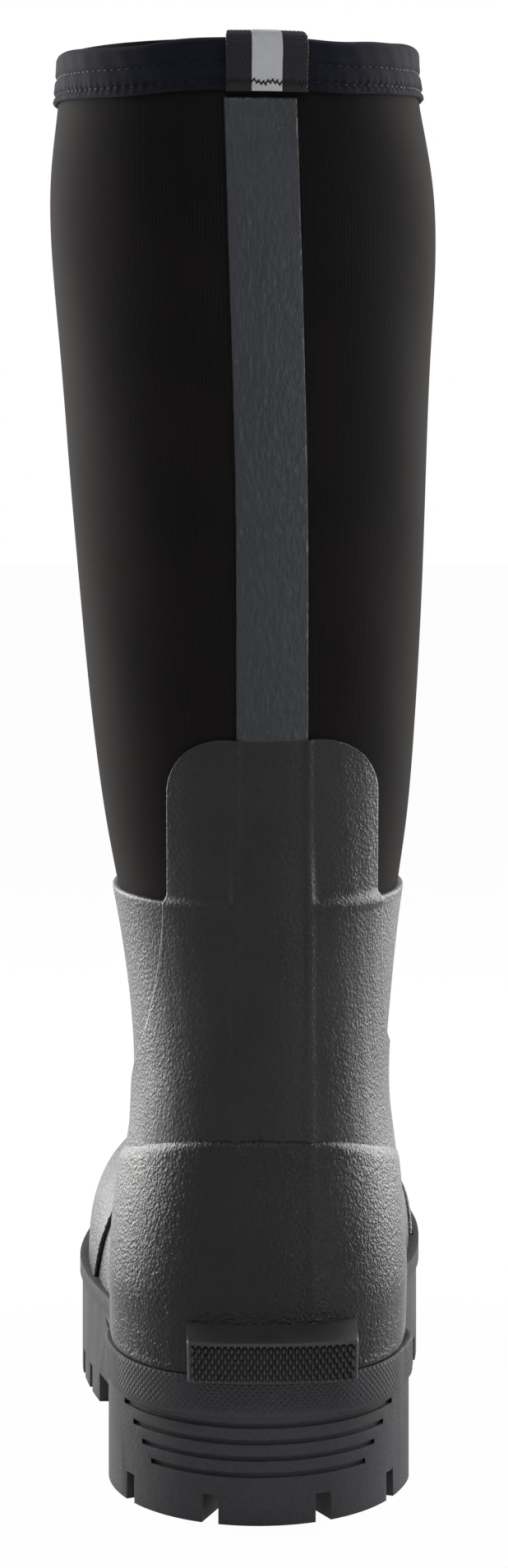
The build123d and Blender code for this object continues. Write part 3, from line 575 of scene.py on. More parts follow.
def finish_piece(obj, paint, slot, *nodes):
    """Gives a piece its material, its body and the CAD nodes that it stands for."""
    obj.data.materials.clear()
    obj.data.materials.append(PAINTS[paint].material)
    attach(obj, "root")
    if nodes:
        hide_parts(*nodes)
    return obj


def cut_size(points, closed=False):
    """Width and length, in metres, that cloth lying along a grid of points was cut to."""
    width = np.linalg.norm(np.diff(points, axis=0), axis=2).sum(axis=0).mean()
    line = np.concatenate([points, points[:, :1]], axis=1) if closed else points
    length = np.linalg.norm(np.diff(line, axis=1), axis=2).sum(axis=1).mean()
    return float(width) * MM, float(length) * MM


# ---------------------------------------------------------------- layers, in millimetres outside the sock
SHELL_WALL, PANEL_WALL, STAY_WALL, GUARD_WALL, WRAP_FACE, CAP_FACE = 1.8, 1.0, 1.0, 1.5, 4.3, 4.8
SHELL_TOP, GUARD_FOOT = 172.0, 30.0
SOLE_EDGE = 41.4           # top of the sole's band round the heel
PANEL_WIDTH, PANEL_FOOT, PANEL_SHOULDER = 60.5, 78.0, 17.0
WRAP_TOP, WRAP_SIDE = 109.0, 98.5
stay_box, binding_box, loop_box = (np.array(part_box(node)) / MM
                                   for node in ("back_stay", "topline_binding", "pull_loop"))
PANEL_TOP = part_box("back_panel")[1][2] / MM
STAY_WIDTH = 20.8
STAY_MIDDLE, STAY_BEND, STAY_RIM = 4.1, 290.0, 0.2


def stay_line(z):
    """Sideways place of the stay's middle, with its bend rounded off."""
    z = np.asarray(z, float)
    over = np.logaddexp(0, (z - STAY_BEND) / 12.0) * 12.0
    return STAY_MIDDLE + (STAY_RIM - STAY_MIDDLE) * over / (RIM[0] - STAY_BEND)


def shell_step(z, s, middle):
    """Thickness of the rubber shell under an overlay: full below its edge, none above."""
    beside = smooth(np.abs(s - middle), STAY_WIDTH / 2 + 0.5, STAY_WIDTH / 2 + 3.0)
    sharp = 1 - smooth(z, SHELL_TOP - 0.3, SHELL_TOP + 1.8)
    slow = 1 - smooth(z, SHELL_TOP - 10.0, SHELL_TOP + 22.0)
    return SHELL_WALL * (sharp * beside + slow * (1 - beside))


def sheet_rows(v_top, v_end, count):
    """Evenly spaced table rows from the first to the last."""
    return v_top + (v_end - v_top) * np.linspace(0, 1, count)[:, None]


# ---------------------------------------------------------------- sock and lining
def sock_and_lining():
    """Foam sock from the rim to the toe, and the knit lining inside it."""
    cols = np.linspace(0, 1, 161)[:-1]
    v_rim = rows_at_height(RIM[0], cols)
    rows = sheet_rows(v_rim[None], TALL - 1.001, 300)
    u = np.broadcast_to(cols, rows.shape)
    flat = place(rows, u, 0.0)
    z = flat[..., 2]
    slack = (np.sin(z / 23.0 + 9 * u) * np.sin(z / 37.0 + 40 * u) * 0.22
             * smooth(z, 185, 230) * (1 - smooth(z, 385, 400)))
    outer = place(rows, u, np.minimum(slack, 0.2))
    sock = shell("neoprene_sock_skin", outer, place(rows, u, -5.0), closed=True, tip=True)
    finish_piece(sock, "neoprene", "neoprene", "neoprene_sock")
    rows = sheet_rows(v_rim[None] + 1.0, TALL - 6.0, 200)
    u = np.broadcast_to(cols, rows.shape)
    face = place(rows, u, -5.02)
    lining = shell("lining_skin", face, place(rows, u, -6.0), closed=True, tip=True)
    finish_piece(lining, "lining", "lining_knit", "lining")


# ---------------------------------------------------------------- rubber layers
def foot_shell():
    """Rubber shell from its level top edge down to the toe."""
    cols = np.linspace(0, 1, 181)[:-1]
    v_top = rows_at_height(SHELL_TOP, cols)
    share = np.r_[0, 0.0003, 0.0009, 0.0018, 0.003, np.linspace(0.0055, 1, 250)][:, None]
    rows = v_top[None] + (TALL - 1.001 - v_top[None]) * share
    u = np.broadcast_to(cols, rows.shape)
    depth = edge_distance(place(rows, u, 0.0))[2]
    t = 0.1 + (SHELL_WALL - 0.1) * rounded(depth, 0.9)
    piece = shell("foot_shell_skin", place(rows, u, t), place(rows, u, 0.0), closed=True, tip=True)
    finish_piece(piece, "shell", "rubber_shell", "foot_shell")


def overlay(name, s, z, base, wall, radius, paint, slot, node, sides=(1, 1, 1, 1)):
    """A glued patch: base and wall are thicknesses on the grid, radius rounds the named sides."""
    v, u = from_wrap(s, z)
    flat = place(v, u, base)
    sides = [d if on else np.full_like(d, 1e3) for on, d in zip(sides, edge_distance(flat))]
    depth = np.minimum.reduce(sides)
    outer = place(v, u, base + 0.08 + (wall - 0.08) * rounded(depth, radius))
    piece = shell(name, outer, place(v, u, base - 0.02))
    return finish_piece(piece, paint, slot, node)


def panel_edges():
    """Left and right edge of the panel: (height, x) from its foot to its shoulders."""
    half = PANEL_WIDTH / 2
    foot_middle = (STAY_MIDDLE + 0.2) / 2
    left = [(PANEL_FOOT, foot_middle - 38.0), (119.0, foot_middle - 37.0),
            (140.0, STAY_MIDDLE - half - 3.2), (158.0, STAY_MIDDLE - half - 0.6),
            (172.0, STAY_MIDDLE - half), (203.0, STAY_MIDDLE - half)]
    right = [(PANEL_FOOT, foot_middle + 38.0), (116.0, foot_middle + 37.0),
             (132.0, STAY_MIDDLE + half + 0.6), (150.0, STAY_MIDDLE + half), (203.0, STAY_MIDDLE + half)]
    return left, right


def back_panel():
    """Tombstone panel over the shell's edge, with the stay's edges showing through it."""
    left, right = panel_edges()
    shoulder, half = PANEL_SHOULDER, PANEL_WIDTH / 2

    def side(line, sign):
        heights = np.arange(PANEL_FOOT, 203.01, 2.0)
        xs = evened(np.interp(heights, [p[0] for p in line], [p[1] for p in line]), np.ones(7))
        points = [(wrap_at(0, x, z), z) for x, z in zip(xs, heights)]
        turn = np.linspace(0, math.pi / 4, 12)[1:]
        x0, z0 = STAY_MIDDLE + sign * (half - shoulder), PANEL_TOP - shoulder
        points += [(wrap_at(0, x0 + sign * shoulder * math.cos(a), z0), z0 + shoulder * math.sin(a))
                   for a in turn]
        return path_of(points)

    turn = np.linspace(3 * math.pi / 4, math.pi / 2, 12)
    x0, x1 = STAY_MIDDLE - half + shoulder, STAY_MIDDLE + half - shoulder
    z0 = PANEL_TOP - shoulder
    top = [(wrap_at(0, x0 + shoulder * math.cos(a), z0), z0 + shoulder * math.sin(a)) for a in turn]
    top += [(wrap_at(0, x1 + shoulder * math.cos(a), z0), z0 + shoulder * math.sin(a))
            for a in np.pi - turn[::-1]]
    foot = [(wrap_at(0, x, PANEL_FOOT), PANEL_FOOT) for x in np.linspace(left[0][1], right[0][1], 30)]
    grid = coons(path_of(foot), path_of(top), side(left, -1), side(right, 1),
                 graded(66.0, 0.8), graded(142.0, 0.9))
    s, z = grid[..., 0], grid[..., 1]
    middle = stay_s(z)
    edge = np.abs(s - middle) - STAY_WIDTH / 2
    ridge = 0.8 * np.exp(-(edge / 1.1) ** 2) + 0.25 * (1 - smooth(edge, -1.5, 1.0))
    ridge = ridge + 0.45 * np.exp(-((z - SHELL_TOP + 1.2) / 1.0) ** 2) * smooth(edge, 0.0, 3.0)
    base = shell_step(z, s, middle)
    wall = PANEL_WALL + ridge
    wall = wall + 0.05 * np.sin(z / 5.0 + s / 3.1) * np.sin(z / 8.3 - s / 2.2)
    overlay("back_panel_skin", s, z, base, wall, 0.8, "shell", "rubber_shell", "back_panel")


def stay_s(z):
    """Distance round from the back of the stay's middle at each height."""
    heights = np.arange(60.0, 420.0, 4.0)
    values = [wrap_at(0, float(stay_line(h)), h) for h in heights]
    return np.interp(z, heights, values)


def back_stay():
    """Rubber strip up the back seam, which goes under the panel."""
    heights = np.linspace(stay_box[0][2], stay_box[1][2], 380)
    across = graded(STAY_WIDTH, 0.7)
    s = stay_s(heights)[:, None] + (across[None] - 0.5) * STAY_WIDTH
    z = np.broadcast_to(heights[:, None], s.shape)
    base = shell_step(z, s, s)
    over = 0.12 * np.sin(z / 9.0) * np.sin(s / 4.0 + z / 21.0) * smooth(z, 225, 240)
    hidden = 1 - smooth(z, PANEL_TOP - 2.5, PANEL_TOP - 0.5)
    overlay("back_stay_skin", s, z, base, (STAY_WALL + 0.1 + over) * (1 - 0.8 * hidden) + 0.1 * hidden,
            0.55, "stay", "rubber_stay", "back_stay")


def heel_wrap():
    """Thick rubber round the heel, with a ledge along its upper edge."""
    reach = HEEL_BACK + 84.0
    front = [(reach, GUARD_FOOT), (reach - 1.0, 45.0), (reach - 8.0, 74.0), (reach - 20.0, 91.5)]
    slope = (WRAP_TOP - WRAP_SIDE) / (reach - 40.0 - HEEL_BACK)
    rise = [(reach - 20.0, 91.5), (reach - 29.0, 96.0), (reach - 40.0, WRAP_SIDE)]
    rise += [(y, WRAP_SIDE + slope * (reach - 40.0 - y)) for y in np.linspace(reach - 50.0, HEEL_BACK, 9)]

    def edge(line, side):
        fine = []
        for (y0, z0), (y1, z1) in zip(line, line[1:]):
            for a in np.linspace(0, 1, 8)[:-1]:
                y, z = y0 + (y1 - y0) * a, z0 + (z1 - z0) * a
                fine.append((wrap_at(1, y, z, side), z))
        fine.append((wrap_at(1, line[-1][0], line[-1][1], side), line[-1][1]))
        return fine

    left, right = edge(front, -1), edge(front, 1)
    top_left, top_right = edge(rise, -1), edge(rise, 1)
    top_left[-1] = (0.0, WRAP_TOP)
    top = top_left + top_right[::-1][1:]
    foot = [(s, GUARD_FOOT) for s in np.linspace(left[0][0], right[0][0], 40)]
    grid = coons(path_of(foot), path_of(top), path_of(left), path_of(right),
                 graded(180.0, 0.95), graded(78.0, 0.85))
    s, z = grid[..., 0], grid[..., 1]
    edge_x = np.abs(s - stay_s(z)) - STAY_WIDTH / 2
    telegraph = 0.35 * np.exp(-(edge_x / 1.5) ** 2) * smooth(z, 50, 70)
    aside = smooth(np.abs(s), 18.0, 45.0)
    wall = WRAP_FACE - SHELL_WALL - 0.15 + telegraph - 0.7 * aside
    wall = wall - 1.7 * (1 - smooth(z, SOLE_EDGE, SOLE_EDGE + 2.8))
    v, u = from_wrap(s, z)
    flat = place(v, u, SHELL_WALL)
    left_d, right_d, _, top_d = edge_distance(flat)
    radius = 1.6 + 3.5 * aside
    lump = 1 + 0.14 * np.sin(s / 2.7) * np.sin(s / 7.1 + 1.0)
    height = rounded(top_d, radius * lump) * rounded(np.minimum(left_d, right_d), 9.0)
    outer = place(v, u, SHELL_WALL + 0.08 + (wall - 0.08) * height)
    straight_from = 66.0
    full_row = np.abs(outer[..., 2] - straight_from).argmin(axis=0)
    full = outer[full_row, np.arange(outer.shape[1])]
    pull = 0.85 * smooth(straight_from - outer[..., 2], 0.0, 14.0) * smooth(outer[..., 2], 39.5, 44.5)
    pull = pull * smooth(np.minimum(left_d, right_d), 0.0, 22.0)
    outer[..., :2] += (full[None, :, :2] - outer[..., :2]) * pull[..., None]
    piece = shell("heel_wrap_skin", outer, place(v, u, SHELL_WALL - 0.05))
    finish_piece(piece, "guard", "rubber_guard", "heel_wrap")
    return outer.reshape(-1, 3)


def front_guard():
    """Toe, instep and shin guard, whose rear edge runs down beside the ankle."""
    edge = HEEL_BACK + 147.0
    peak = 216.0
    line_z = [0.0, 60.0, 110.0, 150.0, 190.0, 236.0]
    line_y = [edge, edge - 1.0, edge - 12.0, edge - 28.0, edge - 34.0, edge - 33.0]
    cols = np.arange(HALF + 1)[::-1]
    v_peak = ROW_AT[level_index(peak), HALF]
    rows = v_peak + (TALL - 2.0 - v_peak) * graded(330.0, 1.3)
    starts = []
    for v in rows:
        points = sample(SURFACE, np.full(HALF + 1, v), cols / (2 * HALF))
        y, z = points[:, 1], points[:, 2]
        arch = 14.0 + 24.0 * math.sqrt(max(0.0, 1 - max(0.0, 1 - (peak - z[0]) / 24.0) ** 2))
        arch += 60.0 * float(smooth(-z[0], -156.0, -140.0))
        good = ((y > np.interp(z, line_z, line_y)) & (z > GUARD_FOOT)
                & (np.abs(points[:, 0] - points[0, 0]) < arch))
        bad = np.where(~good)[0]
        stop = bad[0] if len(bad) else HALF
        starts.append(cols[max(stop, 3)] / (2 * HALF))
    starts = evened(np.array(starts), np.hanning(13)[1:-1])
    across = graded(150.0, 1.6)
    u = starts[:, None] + (1 - 2 * starts[:, None]) * across[None]
    v = np.broadcast_to(rows[:, None], u.shape)
    z = place(v, u, 0.0)[..., 2]
    base = SHELL_WALL * (1 - smooth(z, SHELL_TOP - 0.5, SHELL_TOP + 2.5))
    flat = place(v, u, base)
    depth = np.minimum.reduce(edge_distance(flat)[:3])
    outer = place(v, u, base + 0.08 + (GUARD_WALL - 0.08) * rounded(depth, 1.2))
    piece = shell("front_guard_skin", outer, place(v, u, base - 0.02))
    finish_piece(piece, "guard", "rubber_guard", "front_guard")


def toe_cap():
    """Bumper round the toe."""
    back, toe = HEEL_BACK + 192.0, HEEL_BACK + FOOT_LENGTH
    line_y = [back, back + 18.0, toe - 40.0, toe + 10.0]
    line_z = [GUARD_FOOT, 46.0, 60.0, 63.0]
    base = 3.3
    u = np.linspace(0.2, 0.8, 150)
    starts = []
    v_all = np.linspace(TALL * 0.6, TALL - 2, 400)
    for x in u:
        points = sample(SURFACE, v_all, np.full(400, x))
        inside = points[:, 2] < np.interp(points[:, 1], line_y, line_z, left=-1.0)
        hit = np.where(inside)[0]
        starts.append(v_all[hit[0]] if len(hit) else TALL - 30)
    starts = evened(np.array(starts), np.hanning(9)[1:-1])
    along = graded(100.0, 1.2)
    v = starts[None] + (TALL - 2.0 - starts[None]) * along[:, None]
    u = np.broadcast_to(u, v.shape)
    first = edge_distance(place(v, u, base))[2]
    outer = place(v, u, base + 0.08 + (CAP_FACE - base - 0.08) * rounded(first, 1.3))
    piece = shell("toe_cap_skin", outer, place(v, u, base - 0.02))
    finish_piece(piece, "guard", "rubber_guard", "toe_cap")


def kick_ledge():
    """Kick-off ledge: a smooth sloping top, and a face of small diamond studs."""
    x0, x1 = (c[0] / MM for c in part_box("kick_ledge"))
    z0, z1 = 45.9, 57.0
    pitch = 1.9
    xs = x0 + (x1 - x0) * graded(x1 - x0, 0.22, (0.0, 0.1, 0.3, 0.6))
    face = np.linspace(z0 + 0.3, z1 - 0.4, 48)
    ends = np.minimum(xs - x0, x1 - xs)
    reach = 8.2 * (0.8 + 0.2 * rounded(ends, 1.0))
    profile = [(0.0, z0), (0.6, z0), (0.97, z0 + 0.05)]
    profile += [(1.0 - 0.05 * (z - z0) / (z1 - z0), z) for z in face]
    profile += [(0.95, z1 - 0.1), (0.93, z1 + 0.05), (0.86, z1 + 0.12), (0.6, z1 + 0.15),
                (0.3, z1 + 0.2), (0.1, z1 + 0.3), (0.0, z1 + 0.5)]
    v, u, t = [], [], []
    middle = (x0 + x1) / 2
    for out, z in profile:
        k = round(z * 2) / 2
        narrow = 42.0 / (42.0 + WRAP_FACE + 6.0 * out)
        wraps = np.array([wrap_at(0, middle + (x - middle) * narrow, k) for x in xs])
        row_v, row_u = from_wrap(wraps, np.full(len(xs), z))
        v.append(row_v)
        u.append(row_u)
        bump = np.zeros(len(xs))
        if out > 0.94 and z0 + 0.25 < z < z1 - 0.3:
            cross = (np.abs(np.sin(np.pi * (xs + z * 0.66) / pitch))
                     * np.abs(np.sin(np.pi * (xs - z * 0.66) / pitch)))
            inside = smooth(np.minimum(z - z0, z1 - 0.3 - z), 0.2, 0.9) * smooth(ends, 0.8, 1.8)
            bump = -1.3 * (1 - cross) ** 1.5 * inside + 0.1
        t.append(WRAP_FACE - 0.6 + (reach + 0.4) * out + bump)
    v, u, t = np.array(v), np.array(u), np.array(t)
    piece = shell("kick_ledge_body", place(v, u, t), place(v, u, np.full_like(t, WRAP_FACE - 1.0)))
    piece.data.set_sharp_from_angle(angle=math.radians(50))
    finish_piece(piece, "kick", "kick_rubber", "kick_ledge")


# ---------------------------------------------------------------- collar
def rim_wave(u):
    """How far the sewn rim rises and dips round the boot."""
    x = np.where(u > 0.5, u - 1.0, u)
    side = 2.6 * np.exp(-((x - 0.24) / 0.12) ** 2) + 0.6 * np.exp(-((x + 0.26) / 0.1) ** 2)
    dip = -1.1 * np.exp(-((x + 0.09) / 0.05) ** 2) - 0.5 * np.exp(-((x - 0.08) / 0.04) ** 2)
    return side + dip - 0.6 + 0.25 * np.sin(2 * np.pi * 9 * u) * np.sin(2 * np.pi * 4 * u)


STITCH_ROWS = (406.4, 411.6)
STITCH_COUNT = 128


def binding_face(u, z):
    """Distance outside the sock of the binding's outer face: folds beside each row of stitches."""
    wave = rim_wave(u)
    t = 1.2 + 0.25 * np.sin(2 * np.pi * 31 * u + z * 0.4) * np.sin(2 * np.pi * 13 * u) * 0.5
    for row in STITCH_ROWS:
        t = t - 0.75 * np.exp(-((z - wave * 0.7 - row) / 0.7) ** 2)
    pucker = 0.12 * np.sin(2 * np.pi * STITCH_COUNT * u)
    pucker = pucker * np.exp(-((z - wave * 0.7 - STITCH_ROWS[0]) / 2.0) ** 2)
    return t + pucker + 0.35


def topline_binding():
    """Binding folded over the rim, outside and inside."""
    u = np.linspace(0, 1, 901)[:-1]
    top, foot = binding_box[1][2], binding_box[0][2]
    wave = rim_wave(u)
    outside = np.linspace(foot, top - 2.0, 34)
    lines = []
    for z in outside:
        share = (z - foot) / (top - foot)
        zz = z + wave * (0.75 + 0.25 * share)
        edge = rounded(np.array([z - foot + 0.05]), 0.8)[0]
        lines.append((zz, 0.1 + (binding_face(u, zz) - 0.1) * edge))
    middle, radius = -3.0, 4.2
    for a in np.linspace(0.35, math.pi - 0.35, 13):
        zz = np.full_like(u, top - 2.0 + 2.0 * math.sin(a)) + wave
        lines.append((zz, np.full_like(u, middle + (radius + 0.35) * math.cos(a))))
    for z in np.linspace(top - 2.4, foot + 0.4, 20):
        share = (z - foot) / (top - foot)
        lines.append((z + wave * (0.75 + 0.25 * share), np.full_like(u, -7.2)))
    back = [(foot + 0.4, -6.0), (top - 3.0, -6.0), (top - 1.8, -5.0), (top - 1.8, -1.0),
            (top - 3.0, 0.0), (foot, 0.0)]
    for z, t in back:
        share = (z - foot) / (top - foot)
        lines.append((z + wave * (0.75 + 0.25 * share), np.full_like(u, t)))
    lines.append(lines[0])
    grid = []
    for zz, t in lines:
        level = np.clip((zz - LEVELS[0]) / LEVEL_STEP, 0, len(LEVELS) - 1.001)
        k = level.astype(int)
        c = np.minimum((u * 2 * HALF).astype(int), 2 * HALF - 1)
        v = ROW_AT[k, c] * (1 - (level - k)) + ROW_AT[k + 1, c] * (level - k)
        grid.append(place(v, u, t))
    grid = np.array(grid)[:-1]
    rows, cols = grid.shape[:2]
    faces, uvs = [], []
    along = np.r_[0, np.cumsum(np.linalg.norm(np.diff(grid[:, 0], axis=0), axis=1)), 0]
    across = np.r_[0, np.cumsum(np.linalg.norm(np.diff(grid[0], axis=0), axis=1))]
    across = np.r_[across, across[-1] + 0.5]
    for r in range(rows):
        for c in range(cols):
            n, d = (r + 1) % rows, (c + 1) % cols
            faces.append((r * cols + c, r * cols + d, n * cols + d, n * cols + c))
            uvs += [(across[c], along[r]), (across[c + 1], along[r]), (across[c + 1], along[r + 1]),
                    (across[c], along[r + 1])]
    piece = new_object("topline_binding_fold", grid.reshape(-1, 3), faces, uvs)
    finish_piece(piece, "binding", "binding_fabric", "topline_binding")
    folded = grid[:len(outside) + 33]
    return piece, cut_size(folded, closed=True)


def capsule_mesh(centres, directions, normals, length, radius):
    """Many short rounded threads, as points and faces."""
    sides, rings = 6, [(-0.5, 0.15), (-0.42, 0.8), (-0.2, 1.0), (0.2, 1.0), (0.42, 0.8), (0.5, 0.15)]
    points, faces = [], []
    for centre, along, up in zip(centres, directions, normals):
        along = along / np.linalg.norm(along)
        across = np.cross(along, up)
        across /= np.linalg.norm(across)
        up = np.cross(across, along)
        start = len(points)
        for share, size in rings:
            sink = -0.9 * radius * (2 * share) ** 2
            for k in range(sides):
                a = 2 * math.pi * k / sides
                points.append(centre + along * share * length + up * (sink + radius * size * math.sin(a))
                              + across * radius * size * math.cos(a))
        for r in range(len(rings) - 1):
            for k in range(sides):
                n = (k + 1) % sides
                faces.append((start + r * sides + k, start + r * sides + n,
                              start + (r + 1) * sides + n, start + (r + 1) * sides + k))
        faces.append(tuple(start + k for k in range(sides))[::-1])
        faces.append(tuple(start + (len(rings) - 1) * sides + k for k in range(sides)))
    return points, faces


def stitching():
    """Two rows of lockstitch round the binding."""
    centres, directions, normals = [], [], []
    for index, row in enumerate(STITCH_ROWS):
        u = (np.arange(STITCH_COUNT) + 0.5 * index) / STITCH_COUNT
        for x in u:
            near = np.array([x - 0.0015, x, x + 0.0015])
            z = row + rim_wave(near % 1.0) * 0.7
            v, uu = level_place(near, z)
            points = place(v, uu, binding_face(near % 1.0, z) + 0.05)
            centres.append(points[1])
            directions.append(points[2] - points[0])
            normals.append(sample(OUTWARD, v[1:2], uu[1:2])[0])
    clear = [abs(c[0] - loop_x) > 12.0 or c[1] > 0 for c in centres]
    kept = [[value for value, keep in zip(values, clear) if keep]
            for values in (centres, directions, normals)]
    points, faces = capsule_mesh(*kept, 2.4, 0.26)
    piece = new_object("binding_stitches", points, faces)
    finish_piece(piece, "thread", "thread", "binding_stitching")
    return piece


loop_x = (loop_box[0][0] + loop_box[1][0]) / 2
LOOP_WIDTH = 22.2


def strap_path(lift):
    """The loop's line in the side view: (height, distance outside the sock), lifted off by lift."""
    foot, top = loop_box[0][2] + 2.0, loop_box[1][2] - 1.8
    path = [(foot, 1.9 + lift), (foot + 4.0, 2.1 + lift), (foot + 9.0, 2.6 + lift),
            (top - 5.0, 2.9 + lift), (top - 3.2, 2.5 + lift)]
    centre, radius = -3.0, 5.2
    for a in np.linspace(0.25, math.pi - 0.25, 13):
        path.append((top - 3.0 + (2.3 + lift) * math.sin(a) ** 0.8, centre + (radius + lift) * math.cos(a)))
    path += [(top - 3.2, -8.5 - lift), (top - 6.0, -8.8 - lift), (foot + 9.0, -8.4 - lift),
             (foot + 4.0, -8.0 - lift), (foot, -7.8 - lift)]
    path = np.array(path)
    run = np.r_[0, np.cumsum(np.linalg.norm(np.diff(path, axis=0), axis=1))]
    at = np.linspace(0, run[-1], 190)
    weights = spline_weights(run, at)
    return weights @ path, at


def strap(name, width, lift, thick, weave, part=(0.0, 1.0)):
    """A band that follows the loop: rows run along it, columns across it."""
    path, run = strap_path(lift)
    first, last = int(part[0] * len(path)), int(part[1] * len(path))
    path, run = path[first:last], run[first:last]
    across = (graded(width, 0.3, (0.0, 0.1, 0.25, 0.5)) - 0.5) * width
    lines, rim_s = [], {}
    for (z, t), r in zip(path, run):
        level = min(z, 419.0)
        key = round(level * 2) / 2
        if key not in rim_s:
            rim_s[key] = np.array([wrap_at(0, loop_x + x, key) for x in across])
        v, u = from_wrap(rim_s[key], np.full(len(across), level))
        base = place(v, u, np.full(len(across), t))
        base[:, 2] += z - level
        edge = rounded(width / 2 - np.abs(across), 0.5)
        lines.append((base, weave(across, r) * edge, edge))
    spine = np.array([line[0] for line in lines])
    along = np.gradient(spine, axis=0)
    sideways = np.gradient(spine, axis=1)
    normal = np.cross(sideways, along)
    normal /= np.linalg.norm(normal, axis=2)[..., None]
    if normal[0, len(across) // 2, 1] > 0:
        normal = -normal
    size = np.array([thick / 2 * (0.25 + 0.75 * line[2]) + line[1] for line in lines])[..., None]
    return shell(name, spine + normal * size, spine - normal * (size * 0.8)), cut_size(spine)


def pull_loop():
    """Webbing loop over the rim, with its stripe and the thread that holds it down."""
    def webbing(x, r):
        row = np.floor(r / 0.95)
        across = np.abs(np.sin(np.pi * (x / 1.3 + 0.5 * (row % 2))))
        return 0.3 * across * np.abs(np.sin(np.pi * r / 0.95))

    def tape(x, r):
        return 0.03 * np.abs(np.sin(np.pi * x / 0.9)) * np.abs(np.sin(np.pi * r / 0.9))

    loop, loop_cut = strap("pull_loop_webbing", LOOP_WIDTH, 0.0, 1.3, webbing)
    finish_piece(loop, "webbing", "webbing", "pull_loop")
    stripe = strap("reflective_stripe_tape", 8.2, 0.85, 0.35, tape, (0.0, 0.62))[0]
    finish_piece(stripe, "reflector", "reflector", "reflective_stripe")
    low = loop_box[0][2] + 4.6
    centres, directions, normals = [], [], []
    xs = np.arange(-10.6, 10.7, 0.62)
    for index, x in enumerate(xs):
        z = low + 0.35 * math.sin(x * 1.3) + rng.normal(0, 0.1)
        s = wrap_at(0, loop_x + x, round(z * 2) / 2)
        v, u = from_wrap(np.array([s]), np.array([z]))
        out = sample(OUTWARD, v, u)[0]
        lift = 3.15 if abs(x) < 4.2 else 2.85
        centres.append(place(v, u, np.array([lift]))[0])
        slant = 0.9 if index % 2 else -0.9
        directions.append(np.array([0.75, 0.0, slant]))
        normals.append(out)
    points, faces = capsule_mesh(centres, directions, normals, 1.9, 0.24)
    tack = new_object("loop_bartack_thread", points, faces)
    finish_piece(tack, "thread", "thread", "loop_bartack")


# ---------------------------------------------------------------- sole and inside
def apply_modifiers(copy):
    """Replaces a copy's mesh by the mesh that its modifiers make."""
    graph = bpy.context.evaluated_depsgraph_get()
    mesh = bpy.data.meshes.new_from_object(copy.evaluated_get(graph))
    copy.modifiers.clear()
    copy.data = mesh
    mesh.polygons.foreach_set("use_smooth", [True] * len(mesh.polygons))
    return mesh


def soft_copy(node, name, voxel, rounds, limit):
    """A copy of a CAD node's mesh with its corners softened."""
    copy = linked(name, NODES[node].data.copy())
    remesh = copy.modifiers.new("remesh", "REMESH")
    remesh.mode = "VOXEL"
    remesh.voxel_size = voxel * MM
    relax = copy.modifiers.new("relax", "SMOOTH")
    relax.factor = 0.5
    relax.iterations = rounds
    mesh = apply_modifiers(copy)
    if len(mesh.polygons) * 2 > limit:
        thin = copy.modifiers.new("thin", "DECIMATE")
        thin.ratio = limit / (len(mesh.polygons) * 2)
        apply_modifiers(copy)
    return copy


def knurl_paint():
    """Sole rubber with a fine diamond knurl on the band round its top."""
    p = PAINTS["sole"]
    split = p.add("SeparateXYZ", {"Vector": p.coords.outputs["Object"]})
    run = p.add("Attribute", attribute_name="run").outputs["Fac"]
    height = split.outputs[2]
    k = 2 * math.pi / 0.0019
    a = p.math("SINE", p.math("MULTIPLY", p.math("ADD", run, height), k))
    b = p.math("SINE", p.math("MULTIPLY", p.math("SUBTRACT", run, height), k))
    knurl = p.math("MAXIMUM", a, b)
    band = p.remap(height, 0.0305, 0.033)
    old = p.shader.inputs["Normal"].links[0].from_node
    second = p.add("Bump", {"Height": p.math("MULTIPLY", knurl, band), "Distance": 0.00022,
                            "Strength": 0.8, "Normal": old.outputs[0]})
    p.tree.links.new(second.outputs[0], p.shader.inputs["Normal"])


def bevelled_copy(node, name, width):
    """A copy of a CAD node's mesh with its sharp edges rounded off."""
    copy = linked(name, NODES[node].data.copy())
    work = bmesh.new()
    work.from_mesh(copy.data)
    bmesh.ops.remove_doubles(work, verts=work.verts, dist=2e-6)
    bmesh.ops.dissolve_limit(work, angle_limit=math.radians(0.6), verts=work.verts, edges=work.edges)
    work.to_mesh(copy.data)
    work.free()
    bevel = copy.modifiers.new("bevel", "BEVEL")
    bevel.width = width * MM
    bevel.segments = 2
    bevel.limit_method = "ANGLE"
    bevel.angle_limit = math.radians(38)
    apply_modifiers(copy).set_sharp_from_angle(angle=math.radians(32))
    return copy


